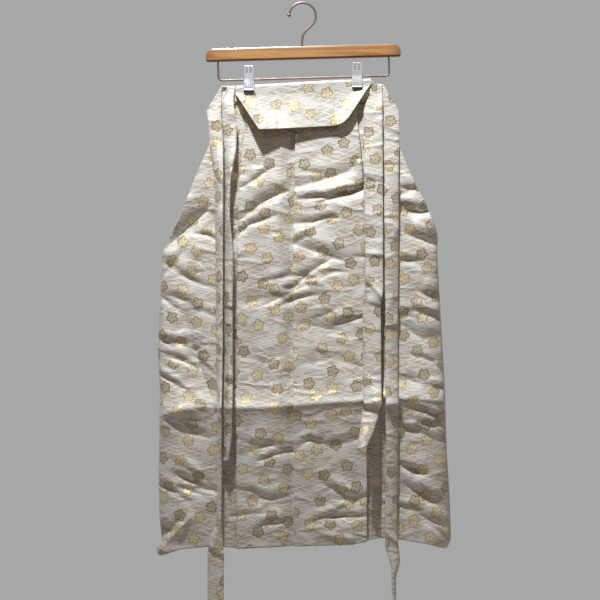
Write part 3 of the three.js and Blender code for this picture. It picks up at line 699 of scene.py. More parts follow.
def frontPanel(name, node, table, sign, material):
    # each row: a quarter ellipse at the side, then straight stretches joined by half circles
    # where the cloth folds back: at the side part's edge, twice under the parts and at the
    # centre part's edge. The right half folds at the middle too, over the left, which runs on
    # straight behind it
    z = panelRows(cloth["waistTop"])
    outerZ = hemDrop(np.full(z.shape, sign * cloth["outerX"]), z)
    out = column(table, sideNames, "out", outerZ, soften=8)
    side, centre = (column(table, sideNames, part, z, soften=14) for part in ("side", "centre"))
    front, stack, under, step, middle = bodyAt("front stack under step middle", z)
    pitch = cloth["pitch"]
    edge = front + (-cloth["sideSeam"] - front) * sideClosed(z)
    reach = np.minimum(cloth["sideReach"], (out - side) * 0.55)
    turn = [1, 1, 1, 1]
    knots = sideCurve(out, front, edge, reach)
    knots += foldEdge(side, front, pitch, -1)
    knots += foldEdge(side + under, front + stack * 0.45, pitch, 1)
    knots += [(side, front + stack * 0.9), (centre, front + stack)]
    knots += foldEdge(centre - under, front + stack - pitch, pitch, -1)[::-1]
    knots += foldEdge(centre, front, pitch, 1)[::-1]
    counts = [3] * 6 + [34, *turn, 7, *turn, 6, 8, 7, *turn, 7, *turn]
    fold = sign * middle
    if sign > 0:
        knots += foldEdge(fold, front, pitch, -1)
        knots += [(fold + cloth["underRight"], front + pitch + step)]
        counts += [44, *turn, 9]
    else:
        behind = front + pitch + cloth["underGap"] + step * cloth["underLeft"] / cloth["underRight"]
        knots += [(fold + 26, front), (fold + 6, behind - 0.6), (fold - cloth["underLeft"], behind)]
        counts += [34, 8, 12]
    path = segments(knots, counts)
    x, y = sign * path[:, :, 0], path[:, :, 1]
    low = hemDrop(x, z[:, None])
    points = np.stack([x, y + frontRelief(x, low, z[:, None], y), low], -1)
    panelPiece(name, node, points, path, material, flip=sign < 0)


def sideFade(depth):
    # no relief where front and back meet at the sides
    return np.clip(np.abs(depth) / 14, 0, 1)


def underTies(x):
    # 1 where a tie hangs in front of the cloth, so that nothing bulges through it
    return smoothStep(np.abs(x), 88, 100) * (1 - smoothStep(np.abs(x), 178, 190))


def frontRelief(x, low, z, depth):
    # what creases, ripples and the storage fold add to the depth of the front cloth
    waves = creaseDepth(frontCreases, x, low) + softWaves(x, low, 4)
    waves = np.where(waves < 0, waves * (1 - 0.75 * underTies(x)), waves)
    return (storageRidge(z, x) + waves * smoothStep(-low, 182, 215)) * sideFade(depth)


def backRelief(x, low, z, depth):
    # the same for the back cloth, where the storage fold is half as deep
    waves = creaseDepth(backCreases, x, low) + softWaves(x, low, 9)
    return -(0.5 * storageRidge(z, x) + waves * smoothStep(-low, 190, 260)) * sideFade(depth)


def panelPiece(name, node, points, flat, material, flip):
    # UV is the length along the cloth, across from its middle edge and down from the top
    widthSteps = np.hypot(np.diff(flat[:, :, 0], axis=1), np.diff(flat[:, :, 1], axis=1))
    across = np.concatenate([np.zeros((len(flat), 1)), np.cumsum(widthSteps, axis=1)], axis=1)
    uv = np.stack([across - across[:, -1:], points[:, :, 2]], -1)
    piece = gridPiece(name, points, uv, material, flip=flip)
    thicken(piece, cloth["wall"])
    settle(piece, node)


boardTop = {"left": -151.9, "right": -137.6, "from": -123.4, "to": 126.7}


def boardTopAt(x):
    # height of the board's folded top edge, which slopes from left to right
    start, end = boardTop["from"], boardTop["to"]
    share = (np.clip(x, start, end) - start) / (end - start)
    return boardTop["left"] + (boardTop["right"] - boardTop["left"]) * share


def backPanel(name, node, table, sign, material):
    # each row: a quarter ellipse at the side, a straight back, one fold and the centre slit's
    # edge. The top row is drawn up to the board
    z = np.concatenate([[cloth["sewnTop"]], panelRows(cloth["waistTop"])])
    hung = hemDrop(np.full(z.shape, sign * cloth["outerX"]), z)
    outerZ = np.where(z > cloth["waistTop"], cloth["waistTop"], hung)
    narrower = (4 + 22 * smoothStep(z, -330, cloth["waistTop"])) * (1 - sideClosed(z))
    out = column(table, sideNames, "out", outerZ, soften=8) - narrower
    back, tuck, fold = bodyAt("back tuck backFold", z)
    edge = back + (cloth["sideSeam"] - back) * sideClosed(z)
    reach = np.minimum(cloth["sideReach"], out * 0.2)
    seam = sign * cloth["backSeam"]
    pitch = cloth["pitch"]
    knots = sideCurve(out, back, edge, reach)
    knots += foldEdge(fold + seam, back - pitch, pitch, -1)[::-1]
    knots += foldEdge(fold + seam + 30, back - tuck / 2 - pitch, pitch, 1)[::-1]
    knots += [(seam + slitHalf(z), back - tuck)]
    path = segments(knots, [3] * 6 + [56, 1, 1, 1, 1, 8, 1, 1, 1, 1, 12])
    x, y = sign * path[:, :, 0], path[:, :, 1]
    sewn = boardTopAt(x) - 9.3
    low = np.where(z[:, None] > cloth["waistTop"], sewn, hemDrop(x, z[:, None]))
    points = np.stack([x, y + backRelief(x, low, z[:, None], y), low], -1)
    panelPiece(name, node, points, path, material, flip=sign > 0)


def gusset(name, node, sign, material):
    # a straight wall from the front's hidden edge to the back's slit, with one slow sine ripple
    # sideways. Its ends follow the relief of both panels
    z = panelRows(cloth["crotch"])
    step, middle, front, back, tuck = bodyAt("step middle front back tuck", z)
    half, clear = 0.6, 1.2
    behind = cloth["underGap"] + step * cloth["underLeft"] / cloth["underRight"]
    startX = middle + (cloth["underRight"] if sign > 0 else cloth["underLeft"]) - half
    startY = front + cloth["pitch"] + (step if sign > 0 else behind)
    startY = startY + frontRelief(startX, hemDrop(startX, z), z, startY) + half + clear
    endX = cloth["backSeam"] + sign * (slitHalf(z) + half)
    endY = back - tuck
    endY = endY + backRelief(endX, hemDrop(endX, z), z, endY) - half - clear
    share = np.linspace(0, 1, 25)[None, :]
    ripple = 1.1 * np.sin(z[:, None] / 31) * np.sin(math.pi * share)
    x = startX[:, None] * (1 - share) + endX[:, None] * share + ripple
    y = startY[:, None] * (1 - share) + endY[:, None] * share
    points = np.stack([x, y, hemDrop(x, z[:, None])], -1)
    panelPiece(name, node, points, points[:, :, :2], material, flip=sign < 0)


frontPanel("frontPanelLeft", "front_left", leftSide, -1, brocade("brocadeFrontLeft", (0.013, 0.02)))
frontPanel("frontPanelRight", "front_right", rightSide, 1, brocade("brocadeFrontRight", (0.31, 0.407)))
backPanel("backPanelLeft", "back_left", leftSide, -1, brocade("brocadeBackLeft", (0.61, 0.13)))
backPanel("backPanelRight", "back_right", rightSide, 1, brocade("brocadeBackRight", (0.93, 0.33)))
gusset("gussetLeft", "gusset_left", -1, brocade("brocadeGussetLeft", (1.2, 0.1)))
gusset("gussetRight", "gusset_right", 1, brocade("brocadeGussetRight", (1.4, 0.2)))
print("panels and gussets made")

band = {
    "left": -149.9, "right": 148.0, "topLeft": -152.4, "topRight": -148.7, "low": -181.7,
    "wall": 2.8, "face": -1.5, "bow": 0.25,
    "underBoard": 5.2,  # how far its top edge runs below the board's
    "hollow": 5.0,  # pressed in beside the left back tie
}


def frontBand():
    # a strip straight across the waist, bowed a little by half a sine from top to bottom, its
    # top edge lower where it runs under the board
    x = np.linspace(band["left"], band["right"], 160)[None, :]
    share = (x - band["left"]) / (band["right"] - band["left"])
    top = band["topLeft"] + (band["topRight"] - band["topLeft"]) * share
    covered = (x > boardTop["from"] - 1) & (x < boardTop["to"])
    top = np.where(covered, np.minimum(top, boardTopAt(x) - band["underBoard"]), top)
    down = np.linspace(0, 1, 14)[:, None]
    z = top + (band["low"] - top) * down
    x = np.broadcast_to(x, z.shape)
    hollow = smoothStep(x, -152, -149) * (1 - smoothStep(x + 0.6 * (-z - 152), -138, -132))
    hollow = band["hollow"] * (hollow * smoothStep(-z, 154, 157))
    y = band["face"] - band["bow"] * np.sin(math.pi * down) + hollow
    points = np.stack([x, y, z], -1)
    uv = np.stack([x, z], -1)
    piece = gridPiece("frontBand", points, uv, brocade("brocadeBand", (0.2, 0.75), crumple=0.2))
    thicken(piece, band["wall"])
    settle(piece, "front_band")


board = {
    "wall": 2.8,
    "seatBack": 3.6,  # depths of its two faces where it hangs over the band
    "seatFront": -4.8,
    "flat": 14.0,  # it lies flat this far down, then stands off
    "reach": 80.0,
    "standOff": (25.0, 14.0),  # at the left and at the right
    "lift": (7.5, 5.5),  # of its slanting sides, left and right
    "ripple": 0.7,
}
boardNames = ["x", "low"]
boardLow = [
    (-123.4, -169.1), (-79.4, -238.3), (60, -229), (67.9, -227.5), (76, -223), (84.9, -214.2),
    (123, -154.5), (126.7, -149.5),
]


def edgeCordAndShade():
    # fine cord round the board's edge: slanting strands, darker between them. Its dark brown is partly
    # painted shade along the board's lower edge
    material, tree, shader = newMaterial("edgeCordAndShade")
    place = addNode(tree, "TexCoord").outputs["Object"]
    wave = {"wave_type": "BANDS", "bands_direction": "DIAGONAL"}
    strands = addNode(tree, "TexWave", wave, Vector=place, Scale=260.0, Distortion=1.0).outputs["Fac"]
    colour = blend(tree, strands, (0.10, 0.06, 0.03, 1), (0.34, 0.23, 0.11, 1))
    roughness = ramp(strands, 0.0, 1.0, 0.6, 0.4)
    feed(shader, base=colour, Normal=bumped(strands, 0.5, 0.0004), Roughness=roughness)
    shader.inputs["Metallic"].default_value = 0.3
    return material


def backBoard():
    # a hooked section, run from left to right: up the back, over the band in a half circle, and
    # down in front, where it stands off by a power of how far down it is, with a low sine
    # ripple. Corners are X and the count of steps to the next one
    corners = [(-123.4, 24), (-79.4, 60), (60, 18), (84.9, 22), (123, 4), (126.7, 0)]
    stretches = [
        np.linspace(start, end, count)[:-1] for (start, count), (end, _) in zip(corners, corners[1:])
    ]
    stations = np.concatenate([*stretches, [boardTop["to"]]])
    radius = (board["seatBack"] - board["seatFront"]) / 2
    middle = (board["seatBack"] + board["seatFront"]) / 2
    turn = boardTopAt(stations) - 1.5 - radius
    low = np.minimum(column(boardLow, boardNames, "low", stations), turn - 3)
    across = smoothStep(stations, -70, 70)
    standOff = board["standOff"][0] + (board["standOff"][1] - board["standOff"][0]) * across
    arc = np.radians(np.linspace(0, 180, 17))[:, None]
    back = np.array([-3.0, -1.5])[:, None]
    share = np.linspace(0, 1, 46)[1:, None]
    hangZ = turn + (low - turn) * share
    down = np.maximum(turn - board["flat"] - hangZ, 0) / board["reach"]
    ripple = board["ripple"] * np.sin(hangZ / 11 + stations / 31) * np.minimum(down * 2, 1)
    hangY = board["seatFront"] - standOff * down**1.4 - ripple
    liftLeft, liftRight = board["lift"]
    lift = liftLeft * (1 - smoothStep(stations, -92, -48)) + liftRight * smoothStep(stations, 62, 100)
    freed = smoothStep(turn - hangZ, 8, 22)
    hangY = hangY - (lift * smoothStep(share, 0.2, 1.0) + 1.8 * (lift > 0) * share**2) * freed
    seat = np.broadcast_to(board["seatBack"], (len(back), len(stations)))
    over = np.broadcast_to(middle + radius * np.cos(arc), (len(arc), len(stations)))
    y = np.concatenate([seat, over, hangY])
    z = np.concatenate([turn + back, turn + radius * np.sin(arc), hangZ])
    x = np.broadcast_to(stations, z.shape)
    points = np.stack([x, y, z], -1)
    lengths = np.hypot(np.diff(y, axis=0), np.diff(z, axis=0))
    along = np.concatenate([np.zeros((1, len(stations))), np.cumsum(lengths, axis=0)])
    uv = np.stack([x, -along], -1)
    # the board's cloth carries painted shade, holding back the bright light it catches where it faces up
    material = brocade("brocadeBoard", (0.402, 0.93), crumple=0.12, tone=0.86)
    piece = gridPiece("backBoard", points, uv, material, flip=True)
    # the cord, whose dark brown is partly painted shade under the board's lower edge
    piece.data.materials.append(edgeCordAndShade())
    edgeFaces = np.zeros(len(piece.data.polygons), np.int32)
    edgeFaces[-(len(stations) - 1):] = 1  # the lowest row carries the cord
    piece.data.polygons.foreach_set("material_index", edgeFaces)
    thicken(piece, board["wall"]).modifiers["wall"].material_offset_rim = 1
    settle(piece, "back_board")


frontBand()
backBoard()

# rows: height, left and right edge, how much lower the left edge is, and how far off the cloth.
# kinks: height, slant, push, and how far each reaches above and below.
# turn: 1 where the right edge stands out to the front, -1 where the left one does
tieNames = ["z", "left", "right", "drop", "off"]
tieEnd = -1452
ties = {
    "frontTieLeft": {
        "node": "front_tie_left", "width": 28.0, "turn": 1, "shift": (0.1, 0.05),
        "rows": [
            (-152.6, -177.2, -149.2, 45, 0.3), (-200, -175.4, -149.2, 8, 0.8),
            (-261, -171.1, -145.2, 0, 1.5), (-317, -161.9, -144.2, 0, 2), (-474, -159.1, -144.2, 0, 2.5),
            (-632, -158.2, -144.2, 0, 2.5), (-739, -155.4, -145, 0, 2), (-955, -156.7, -147.1, 0, 2),
            (-981, -169.3, -145.2, 0, 3), (-1011, -173, -143.4, 0, 4), (-1103, -173.5, -144, 0, 1),
            (-1250, -172, -146, 0, -4), (tieEnd, -172, -144, 0, -10),
        ],
        "kinks": [
            (-330, 0.2, 2.5, 18, 5), (-590, 0.3, 2.2, 16, 5), (-760, -0.2, 2.2, 18, 5),
            (-1003, -0.6, 5.5, 16, 3),
        ],
    },
    "frontTieRight": {
        "node": "front_tie_right", "width": 28.0, "turn": -1, "shift": (0.2, 0.31),
        "rows": [
            (-197, 148, 177.4, -48, 0.3), (-213, 149.2, 178.2, -10, 0.8), (-250, 149.2, 178.2, 0, 1.5),
            (-320, 149.2, 177, 0, 2), (-474, 149.8, 176, 0, 2.5), (-590, 150, 174.8, 0, 2),
            (-739, 150, 174.4, 0, 3.6), (-974, 150, 173, 0, 2), (-1002, 150.8, 175.9, 0, 3),
            (-1029, 160, 178.5, 0, 3), (-1052, 161.9, 171.1, 0, 2), (-1103, 163.2, 171.1, 0, 1),
            (-1200, 158, 176, 0, -3), (tieEnd, 153, 181, 0, -10),
        ],
        "kinks": [
            (-232, -0.5, 3.0, 14, 5), (-420, 0.2, 1.8, 18, 5), (-594, 0.1, 4.5, 20, 3),
            (-735, 0.2, 2.2, 16, 5), (-980, -0.8, 3.5, 14, 4),
        ],
    },
    "backTieLeft": {
        "node": "back_tie_left", "width": 28.0, "turn": 1, "shift": (0.3, 0.55),
        "rows": [
            (-154, -138, -124.2, 0, 0.5), (-174, -146, -126.8, 0, 2.5), (-184, -147.8, -126.8, 0, 3.5),
            (-219, -147.6, -120.4, 0, 5), (-269, -143.6, -120.4, 0, 4.8), (-328, -142.5, -130.4, 0, 4.2),
            (-397, -142.5, -132, 0, 4), (-456, -142.5, -125.6, 0, 4), (-556, -142.5, -126.7, 0, 3),
            (-739, -143, -125.6, 0, 2.4), (-802, -144, -128, 0, 1.5), (-838, -146, -133, 5, 1.5),
        ],
        "kinks": [
            (-300, 0.4, 2.5, 16, 5), (-440, -0.3, 1.6, 14, 5), (-556, -0.3, 3.5, 16, 3),
            (-690, 0.3, 2.0, 14, 5),
        ],
    },
    "backTieRight": {
        "node": "back_tie_right", "width": 36.0, "turn": 1, "shift": (0.4, 0.83),
        "rows": [
            (-152, 127.4, 147.1, -9, 0.3), (-160, 127.4, 147.2, 0, 0.3), (-166, 127.2, 147.4, 0, 0.4),
            (-177, 119.5, 147.7, 0, 0.5), (-199, 112.6, 147.7, 0, 1.5), (-319, 112.4, 147.7, 0, 3),
            (-524, 115, 147.4, 0, 4), (-540, 116, 145.6, 0, 5), (-556, 110, 143.4, 0, 4),
            (-739, 110, 143.4, 0, 5), (-790, 102, 127, 0, 7), (-810, 97.2, 115.6, 7, 8),
        ],
        "kinks": [
            (-319, -0.15, 3.2, 18, 4), (-392, 0.3, 2.0, 14, 5), (-465, 0.0, 4.0, 22, 3),
            (-528, -0.9, 6.0, 16, 3), (-552, -0.2, 3.0, 10, 3), (-640, 0.2, 1.6, 20, 6),
            (-733, 0.25, 3.5, 14, 3),
        ],
    },
}


def tie(name, node, width, turn, shift, rows, kinks, wall=2.2):
    # a ribbon that turns as it hangs: less of its width shows where it is turned, and the rest
    # of the width, by Pythagoras, stands out towards the front. Its section is cupped by a
    # parabola, and each kink is a push that dies away upwards and downwards
    z = np.linspace(rows[0][0], rows[-1][0], int(abs(rows[-1][0] - rows[0][0]) / 2.6))
    left, right, off = (column(rows, tieNames, part, z, soften=7) for part in ("left", "right", "off"))
    drop = column(rows, tieNames, "drop", z)
    freed = smoothStep(-np.maximum(z, z - drop), 160, 215)
    turned = np.sqrt(1 - np.minimum((right - left) / width, 1) ** 2) * freed
    across = (right - left) / 2 - wall / 2 * turned
    depth = width / 2 * turned
    front = bodyAt("front", np.maximum(z, cloth["hem"]))[0]
    face = front + storageRidge(z, (left + right) / 2) - 0.6  # the cloth's outer face
    depth = depth * (0.62 - 0.3 * smoothStep(-z, 790, 850))  # and flatter below
    middleY = np.minimum(face, -3.0) - off - wall / 2 - depth - 0.15
    share = np.linspace(-1, 1, 15)[None, :]
    cup = 1.2 * (1 - share**2) * smoothStep(-z, 200, 300)[:, None]
    x = (left + right)[:, None] / 2 + across[:, None] * share
    # the right back tie's folded end stands out like a leaf
    leaf = smoothStep(-z, 736, 752) if name == "backTieRight" else np.zeros(z.shape)
    middleY = middleY * (1 - leaf) + leaf * (-46.0 + 0.40 * (z + 742))
    cup = cup + (4.5 * turned)[:, None] * (1 - share**2)
    y = middleY[:, None] - share * (turn * depth * (1 - 0.85 * leaf))[:, None] - cup
    height = z[:, None] - drop[:, None] * (1 - share) / 2
    for place, slant, push, above, below in kinks:
        away = height - place - slant * share * width / 2
        y = y - push * np.exp(-np.abs(away) / np.where(away > 0, above, below))
    y = y - 0.5 * np.sin(height / 17 + share * 1.3) * freed[:, None]
    points = np.stack([x, y, height], -1)
    uv = np.stack([np.broadcast_to(share * width / 2, height.shape), height], -1)
    material = brocade("brocade" + name[0].upper() + name[1:], shift, stitchedHalf=width / 2 * mm)
    piece = gridPiece(name, points, uv, material)
    thicken(piece, wall)
    settle(piece, node)


for tieName, values in ties.items():
    tie(tieName, **values)
print("band, board and ties made")


def wornMetal(name, colour, rough):
    # polished plating, a little duller in cloudy patches and along fine drawn lines
    material, tree, shader = newMaterial(name)
    place = addNode(tree, "TexCoord").outputs["Object"]
    cloud = noise(place, 90.0, 5.0)
    drawn = noise(stretched(place, (1.0, 1.0, 0.06)), 1500.0, 1.0)
    dull = [value * 0.72 for value in colour] + [1]
    plate = blend(tree, ramp(cloud, 0.5, 0.8), [*colour, 1], dull)
    roughness = ramp(cloud, 0.35, 0.75, rough, rough + 0.16)
    feed(shader, base=plate, Roughness=roughness, Normal=bumped(drawn, 0.05, 0.00003))
    shader.inputs["Metallic"].default_value = 1.0
    return material


def pressedChrome():
    # plated sheet with two columns of pressed squares at the top and fine ribs below them, laid
    # out in metres of the UV map
    material = wornMetal("clipChrome", (0.88, 0.89, 0.93), 0.24)
    tree = material.node_tree
    shader = tree.nodes["Principled BSDF"]
    cloth = addNode(tree, "UVMap", {"uv_map": "cloth"}).outputs[0]
    parts = axes(cloth)
    across = calc("ABSOLUTE", parts[0])
    down = times(parts[1], -1.0)
    strip = ramp(apart(across, 0.0038), 0.0027, 0.0022)
    row = ramp(apart(inRepeat(minus(down, 0.0012), 0.0042), 0.5), 0.38, 0.3)
    upper = times(ramp(down, 0.0012, 0.0014), ramp(down, 0.0139, 0.0137))
    squares = times(times(strip, row), upper)
    rib = calc("FRACT", plus(calc("DIVIDE", parts[0], 0.0036), 0.5))
    lower = times(ramp(down, 0.0155, 0.0165), ramp(down, 0.0425, 0.0415))
    ribs = times(times(ramp(apart(rib, 0.5), 0.24, 0.12), lower), ramp(across, 0.0078, 0.0072))
    pressed = larger(squares, times(ribs, 0.6))
    plate = shader.inputs["Base Color"].links[0].from_socket
    # painted shade: the pressed squares and ribs are painted darker, as their hollows would be shaded
    recessShade = blend(tree, times(pressed, 0.75), plate, (0.30, 0.31, 0.34, 1))
    feed(shader, base=recessShade, Normal=bumped(times(pressed, -1.0), 0.15, 0.0005))
    return material


hanger = {
    "length": 360.0, "height": 24.0, "depth": 13.0,  # the wooden bar
    "centre": (1.3, -91.0), "tilt": math.radians(1.6),
    "topCorner": 14.0, "lowCorner": 3.8, "edgeRound": 3.6,
    "rod": 1.9, "rodDrop": 46.7, "halfSpan": 157.9, "bend": 7.0,  # the wire frame
    "hookRadius": 24.7, "hookRod": 2.1, "hookEnd": 168.0, "ball": 3.3,
    "hookStem": [(-0.6, -70), (0.2, -61.2), (4.6, -51.6), (16.2, -40.6)],
}


def lacqueredWood():
    # long grain along X, darker rings and pores, under clear lacquer
    material, tree, shader = newMaterial("lacqueredWood")
    place = addNode(tree, "TexCoord").outputs["Object"]
    warped = noise(stretched(place, (3.2, 60.0, 60.0)), 1.0, 6.0, Distortion=1.2)
    pores = noise(stretched(place, (40.0, 1400.0, 1400.0)), 1.0, 3.0)
    rings = ramp(calc("FRACT", times(warped, 5.0)), 0.0, 1.0)
    colour = blend(tree, ramp(warped, 0.3, 0.7), (0.25, 0.10, 0.026, 1), (0.46, 0.235, 0.08, 1))
    colour = blend(tree, times(rings, 0.35), colour, (0.54, 0.30, 0.12, 1))
    colour = blend(tree, ramp(pores, 0.56, 0.7, 0.0, 0.6), colour, (0.24, 0.10, 0.03, 1))
    # painted shade: darker along the lower edge and towards both ends, where the rounded bar turns away from
    # the light
    parts = axes(place)
    height = minus(parts[2], hanger["centre"][1] * mm)
    level = timesPlus(parts[0], -math.tan(hanger["tilt"]), height)
    low = ramp(level, -0.0082, -0.0098, 0.0, 0.85)
    ends = ramp(calc("ABSOLUTE", parts[0]), 0.155, 0.179, 0.0, 0.5)
    colour = blend(tree, larger(low, ends), colour, (0.10, 0.025, 0.008, 1))
    roughness = ramp(pores, 0.3, 0.7, 0.34, 0.46)
    feed(shader, base=colour, Roughness=roughness, Normal=bumped(pores, 0.15, 0.0003))
    shader.inputs["Coat Weight"].default_value = 0.5
    shader.inputs["Coat Roughness"].default_value = 0.12
    return material


def blackRubber():
    # matte black with a little grey dust
    material, tree, shader = newMaterial("blackRubber")
    dust = noise(addNode(tree, "TexCoord").outputs["Object"], 700.0, 4.0)
    colour = blend(tree, ramp(dust, 0.5, 0.75), (0.018, 0.018, 0.019, 1), (0.05, 0.05, 0.05, 1))
    feed(shader, base=colour, Roughness=ramp(dust, 0.3, 0.7, 0.6, 0.8), Normal=bumped(dust, 0.3, 0.0002))
    return material


chrome = pressedChrome()
steel = wornMetal("rodSteel", (0.21, 0.15, 0.13), 0.46)
wood = lacqueredWood()
rubber = blackRubber()
print("finishes ready")


def tilted(points):
    # from the bar's own axes to the frame's
    cos, sin = math.cos(hanger["tilt"]), math.sin(hanger["tilt"])
    x, y, z = points[..., 0], points[..., 1], points[..., 2]
    return np.stack([hanger["centre"][0] + x * cos - z * sin, y, hanger["centre"][1] + x * sin + z * cos], -1)


def woodenBar():
    # an outline with four round corners, drawn in by a quarter circle at both faces
    half, high, edge = hanger["length"] / 2, hanger["height"] / 2, hanger["edgeRound"]
    top, low = hanger["topCorner"], hanger["lowCorner"]
    corners = [
        (half - low, -high + low, low, -90), (half - top, high - top, top, 0),
        (-half + top, high - top, top, 90), (-half + low, -high + low, low, 180),
    ]
    outline = []
    for *corner, start in corners:
        turns = np.radians(start + np.linspace(0, 90, 13))
        outline.append(np.column_stack([np.tile(corner, (13, 1)), np.cos(turns), np.sin(turns)]))
    middleX, middleZ, radius, cos, sin = np.concatenate(outline).T
    arc = np.radians(np.linspace(0, 90, 8))
    depths = hanger["depth"] / 2 - edge + edge * np.sin(arc)
    insets = edge * (1 - np.cos(arc))
    y = np.concatenate([-depths[::-1], depths])
    inset = np.concatenate([insets[::-1], insets])
    radius = radius - inset[:, None]
    x = middleX + radius * cos
    z = middleZ + radius * sin
    points = np.stack([x, np.broadcast_to(y[:, None], x.shape), z], -1)
    piece = closedGrid("woodenBar", tilted(points), wood, flip=True)
    settle(piece, "hanger_bar")


def roundRod(name, route, radius, material, place=lambda p: p):
    # a circle carried along a flat curve, drawn in at both ends
    steps = np.gradient(route, axis=0)
    along = steps / np.linalg.norm(steps, axis=1)[:, None]
    normal = np.stack([-along[:, 1], along[:, 0]], -1)
    turns = np.linspace(0, 2 * math.pi, 21)[:-1]
    count = len(route)
    ends = np.minimum(np.arange(count), np.arange(count)[::-1])
    size = radius * np.where(ends == 0, 0.6, np.where(ends == 1, 0.88, 1.0))
    x = route[:, 0, None] + size[:, None] * np.cos(turns) * normal[:, 0, None]
    z = route[:, 1, None] + size[:, None] * np.cos(turns) * normal[:, 1, None]
    y = size[:, None] * np.sin(turns) + 0 * x
    return closedGrid(name, place(np.stack([x, y, z], -1)), material)


def between(u, start, end, first, second):
    # first at start, second at end, in a straight line between them
    return (end - u) / (end - start) * first + (u - start) / (end - start) * second


def smoothRoute(points, per=10):
    # a centripetal curve through the points: straight lines between each three neighbours,
    # blended twice
    p = np.array(points, float)
    p = np.concatenate([[2 * p[0] - p[1]], p, [2 * p[-1] - p[-2]]])
    t = np.concatenate([[0], np.cumsum(np.sqrt(np.linalg.norm(np.diff(p, axis=0), axis=1)))])
    route = []
    for k in range(1, len(p) - 2):
        u = np.linspace(t[k], t[k + 1], per + 1)[:-1, None]
        a1, a2, a3 = (between(u, t[j], t[j + 1], p[j], p[j + 1]) for j in (k - 1, k, k + 1))
        b1 = between(u, t[k - 1], t[k + 1], a1, a2)
        b2 = between(u, t[k], t[k + 2], a2, a3)
        route.append(between(u, t[k], t[k + 1], b1, b2))
    return np.concatenate([*route, p[-2:-1]])


def hookAndWire():
    # the wire frame under the bar, the hook over the rail, and a ball on the hook's end
    drop, bend, span = hanger["rodDrop"], hanger["bend"], hanger["halfSpan"]
    top = -hanger["height"] / 2 - 0.3
    left = [
        (-span, top), (-span, -drop + bend * 2), (-span, -drop + bend),
        (-span + bend * 0.3, -drop + bend * 0.3), (-span + bend, -drop), (-span + bend * 2, -drop),
    ]
    route = smoothRoute(left + [(-x, z) for x, z in left[::-1]])
    wire = roundRod("wireFrame", route, hanger["rod"], steel, tilted)
    settle(wire, "hanger_wire")
    radius, rod = hanger["hookRadius"], hanger["hookRod"]
    barTop = hanger["centre"][1] + hanger["height"] / 2 + 0.4
    stem = [(-1, barTop), *hanger["hookStem"]]
    turns = np.radians(np.linspace(-22, hanger["hookEnd"], 13))
    arc = np.stack([radius * np.cos(turns), -radius + rod + radius * np.sin(turns)], -1)
    hook = roundRod("hookRod", smoothRoute(stem + arc.tolist()), rod, steel)
    settle(hook, "hanger_hook")
    end = math.radians(hanger["hookEnd"]) + (hanger["ball"] + 0.3) / radius
    centre = np.array([radius * math.cos(end), 0, -radius + rod + radius * math.sin(end)])
    rings = np.radians(np.linspace(-86, 86, 17))[:, None]
    around = np.linspace(0, 2 * math.pi, 25)[:-1][None, :]
    level, height = np.cos(rings), np.broadcast_to(np.sin(rings), (17, 24))
    ball = np.stack([level * np.cos(around), level * np.sin(around), height], -1)
    piece = closedGrid("hookBall", hanger["ball"] * ball + centre, steel)
    settle(piece, "hook_ball")


clip = {
    "offsets": (-100.6, 99.4),  # along the bar
    "width": 18.6, "top": 22.0, "tip": 71.5,
    "sheet": 0.9, "flange": 2.0, "lip": 0.9, "taper": 0.12,
    "rodGap": 5.4,  # from the rod's face to the sheet
    "behindPad": 2.95,  # from the pad's inner face to the sheet
    "grip": {-1: 6.9, 1: 7.5},  # depth of the pads' inner faces, front and back
    "pad": 3.8, "padPower": 0.35,
}


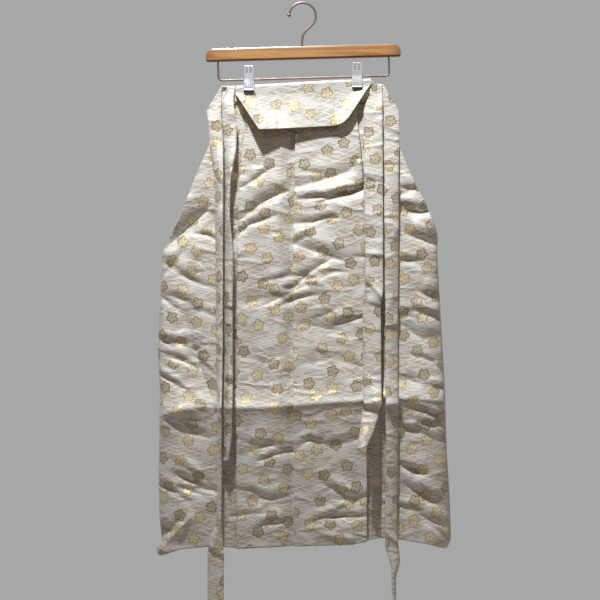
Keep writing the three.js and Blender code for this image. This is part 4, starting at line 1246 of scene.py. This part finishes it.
def jaw(name, node, offset, side):
    # a pressed strip: a smoothed profile from top to tip, swept across, with flanges along its
    # edges that turn in by a power of the share across
    grip, drop, top, tip = clip["grip"][side], hanger["rodDrop"], clip["top"], clip["tip"]
    near, held = hanger["rod"] + clip["rodGap"], grip + clip["behindPad"]
    profile = np.array([
        (8.2, -top), (7.9, -top - 8), (near + 0.3, -drop + 8), (near + 0.5, -drop + 0.5),
        (held - 1, -drop - 8), (held, -tip + 9), (held, -tip + 4),
    ])
    down = np.linspace(0, len(profile) - 1, 90)
    out, z = (np.interp(down, range(len(profile)), values) for values in profile.T)
    kernel = np.array([1, 2, 3, 2, 1]) / 9
    out[2:-2], z[2:-2] = np.convolve(out, kernel, "valid"), np.convolve(z, kernel, "valid")
    share = np.linspace(-1, 1, 61)[None, :]
    narrow = 1 - clip["taper"] * smoothStep(z, -drop - 2, -drop + 6)[:, None]
    x = share * (clip["width"] / 2) * narrow
    z = np.broadcast_to(z[:, None], x.shape)
    lip = clip["lip"] * smoothStep(-z, tip - 7, tip - 3)
    flange = np.clip((np.abs(share) - 0.9) / 0.1, 0, 1) ** 1.5 * clip["flange"]
    y = side * (out[:, None] + lip - flange)
    cos, sin = math.cos(hanger["tilt"]), math.sin(hanger["tilt"])
    centre = (hanger["centre"][0] + offset * cos, hanger["centre"][1] + offset * sin)
    points = np.stack([centre[0] + x, y, centre[1] + z], -1)
    piece = gridPiece(name, points, np.stack([x, z + top], -1), chrome, flip=side > 0)
    thicken(piece, clip["sheet"])
    settle(piece, node)
    return centre


def rubberPad(name, node, centre, side):
    # a soft boot round the jaw's tip: rings whose sine and cosine are raised to a small power,
    # so nearly rectangles, a little smaller at the top and bottom
    turns = np.linspace(0, 2 * math.pi, 41)[:-1]
    cos, sin = (np.sign(wave) * np.abs(wave) ** clip["padPower"] for wave in (np.cos(turns), np.sin(turns)))
    levels = np.array([[1.6, 0.86], [2.0, 0.97], [2.5, 1.0], [4.4, 1.0], [5.0, 0.97], [5.3, 0.86]])
    height, size = levels[:, :1], levels[:, 1:]
    x = centre[0] + size * (clip["width"] / 2 - 0.2) * cos
    y = side * (clip["grip"][side] + clip["pad"] / 2 + size * (clip["pad"] / 2) * sin)
    z = np.broadcast_to(centre[1] - clip["tip"] + height, x.shape)
    piece = closedGrid(name, np.stack([x, y, z], -1), rubber, flip=side < 0)
    settle(piece, node)


def clips():
    for label, offset in zip(("left", "right"), clip["offsets"]):
        for where, side in (("front", -1), ("back", 1)):
            centre = jaw(f"{label}Clip{where.title()}Jaw", f"clip_{label}_{where}_jaw", offset, side)
            rubberPad(f"{label}Clip{where.title()}Pad", f"clip_{label}_{where}_pad", centre, side)


woodenBar()
hookAndWire()
clips()
print("hanger made")
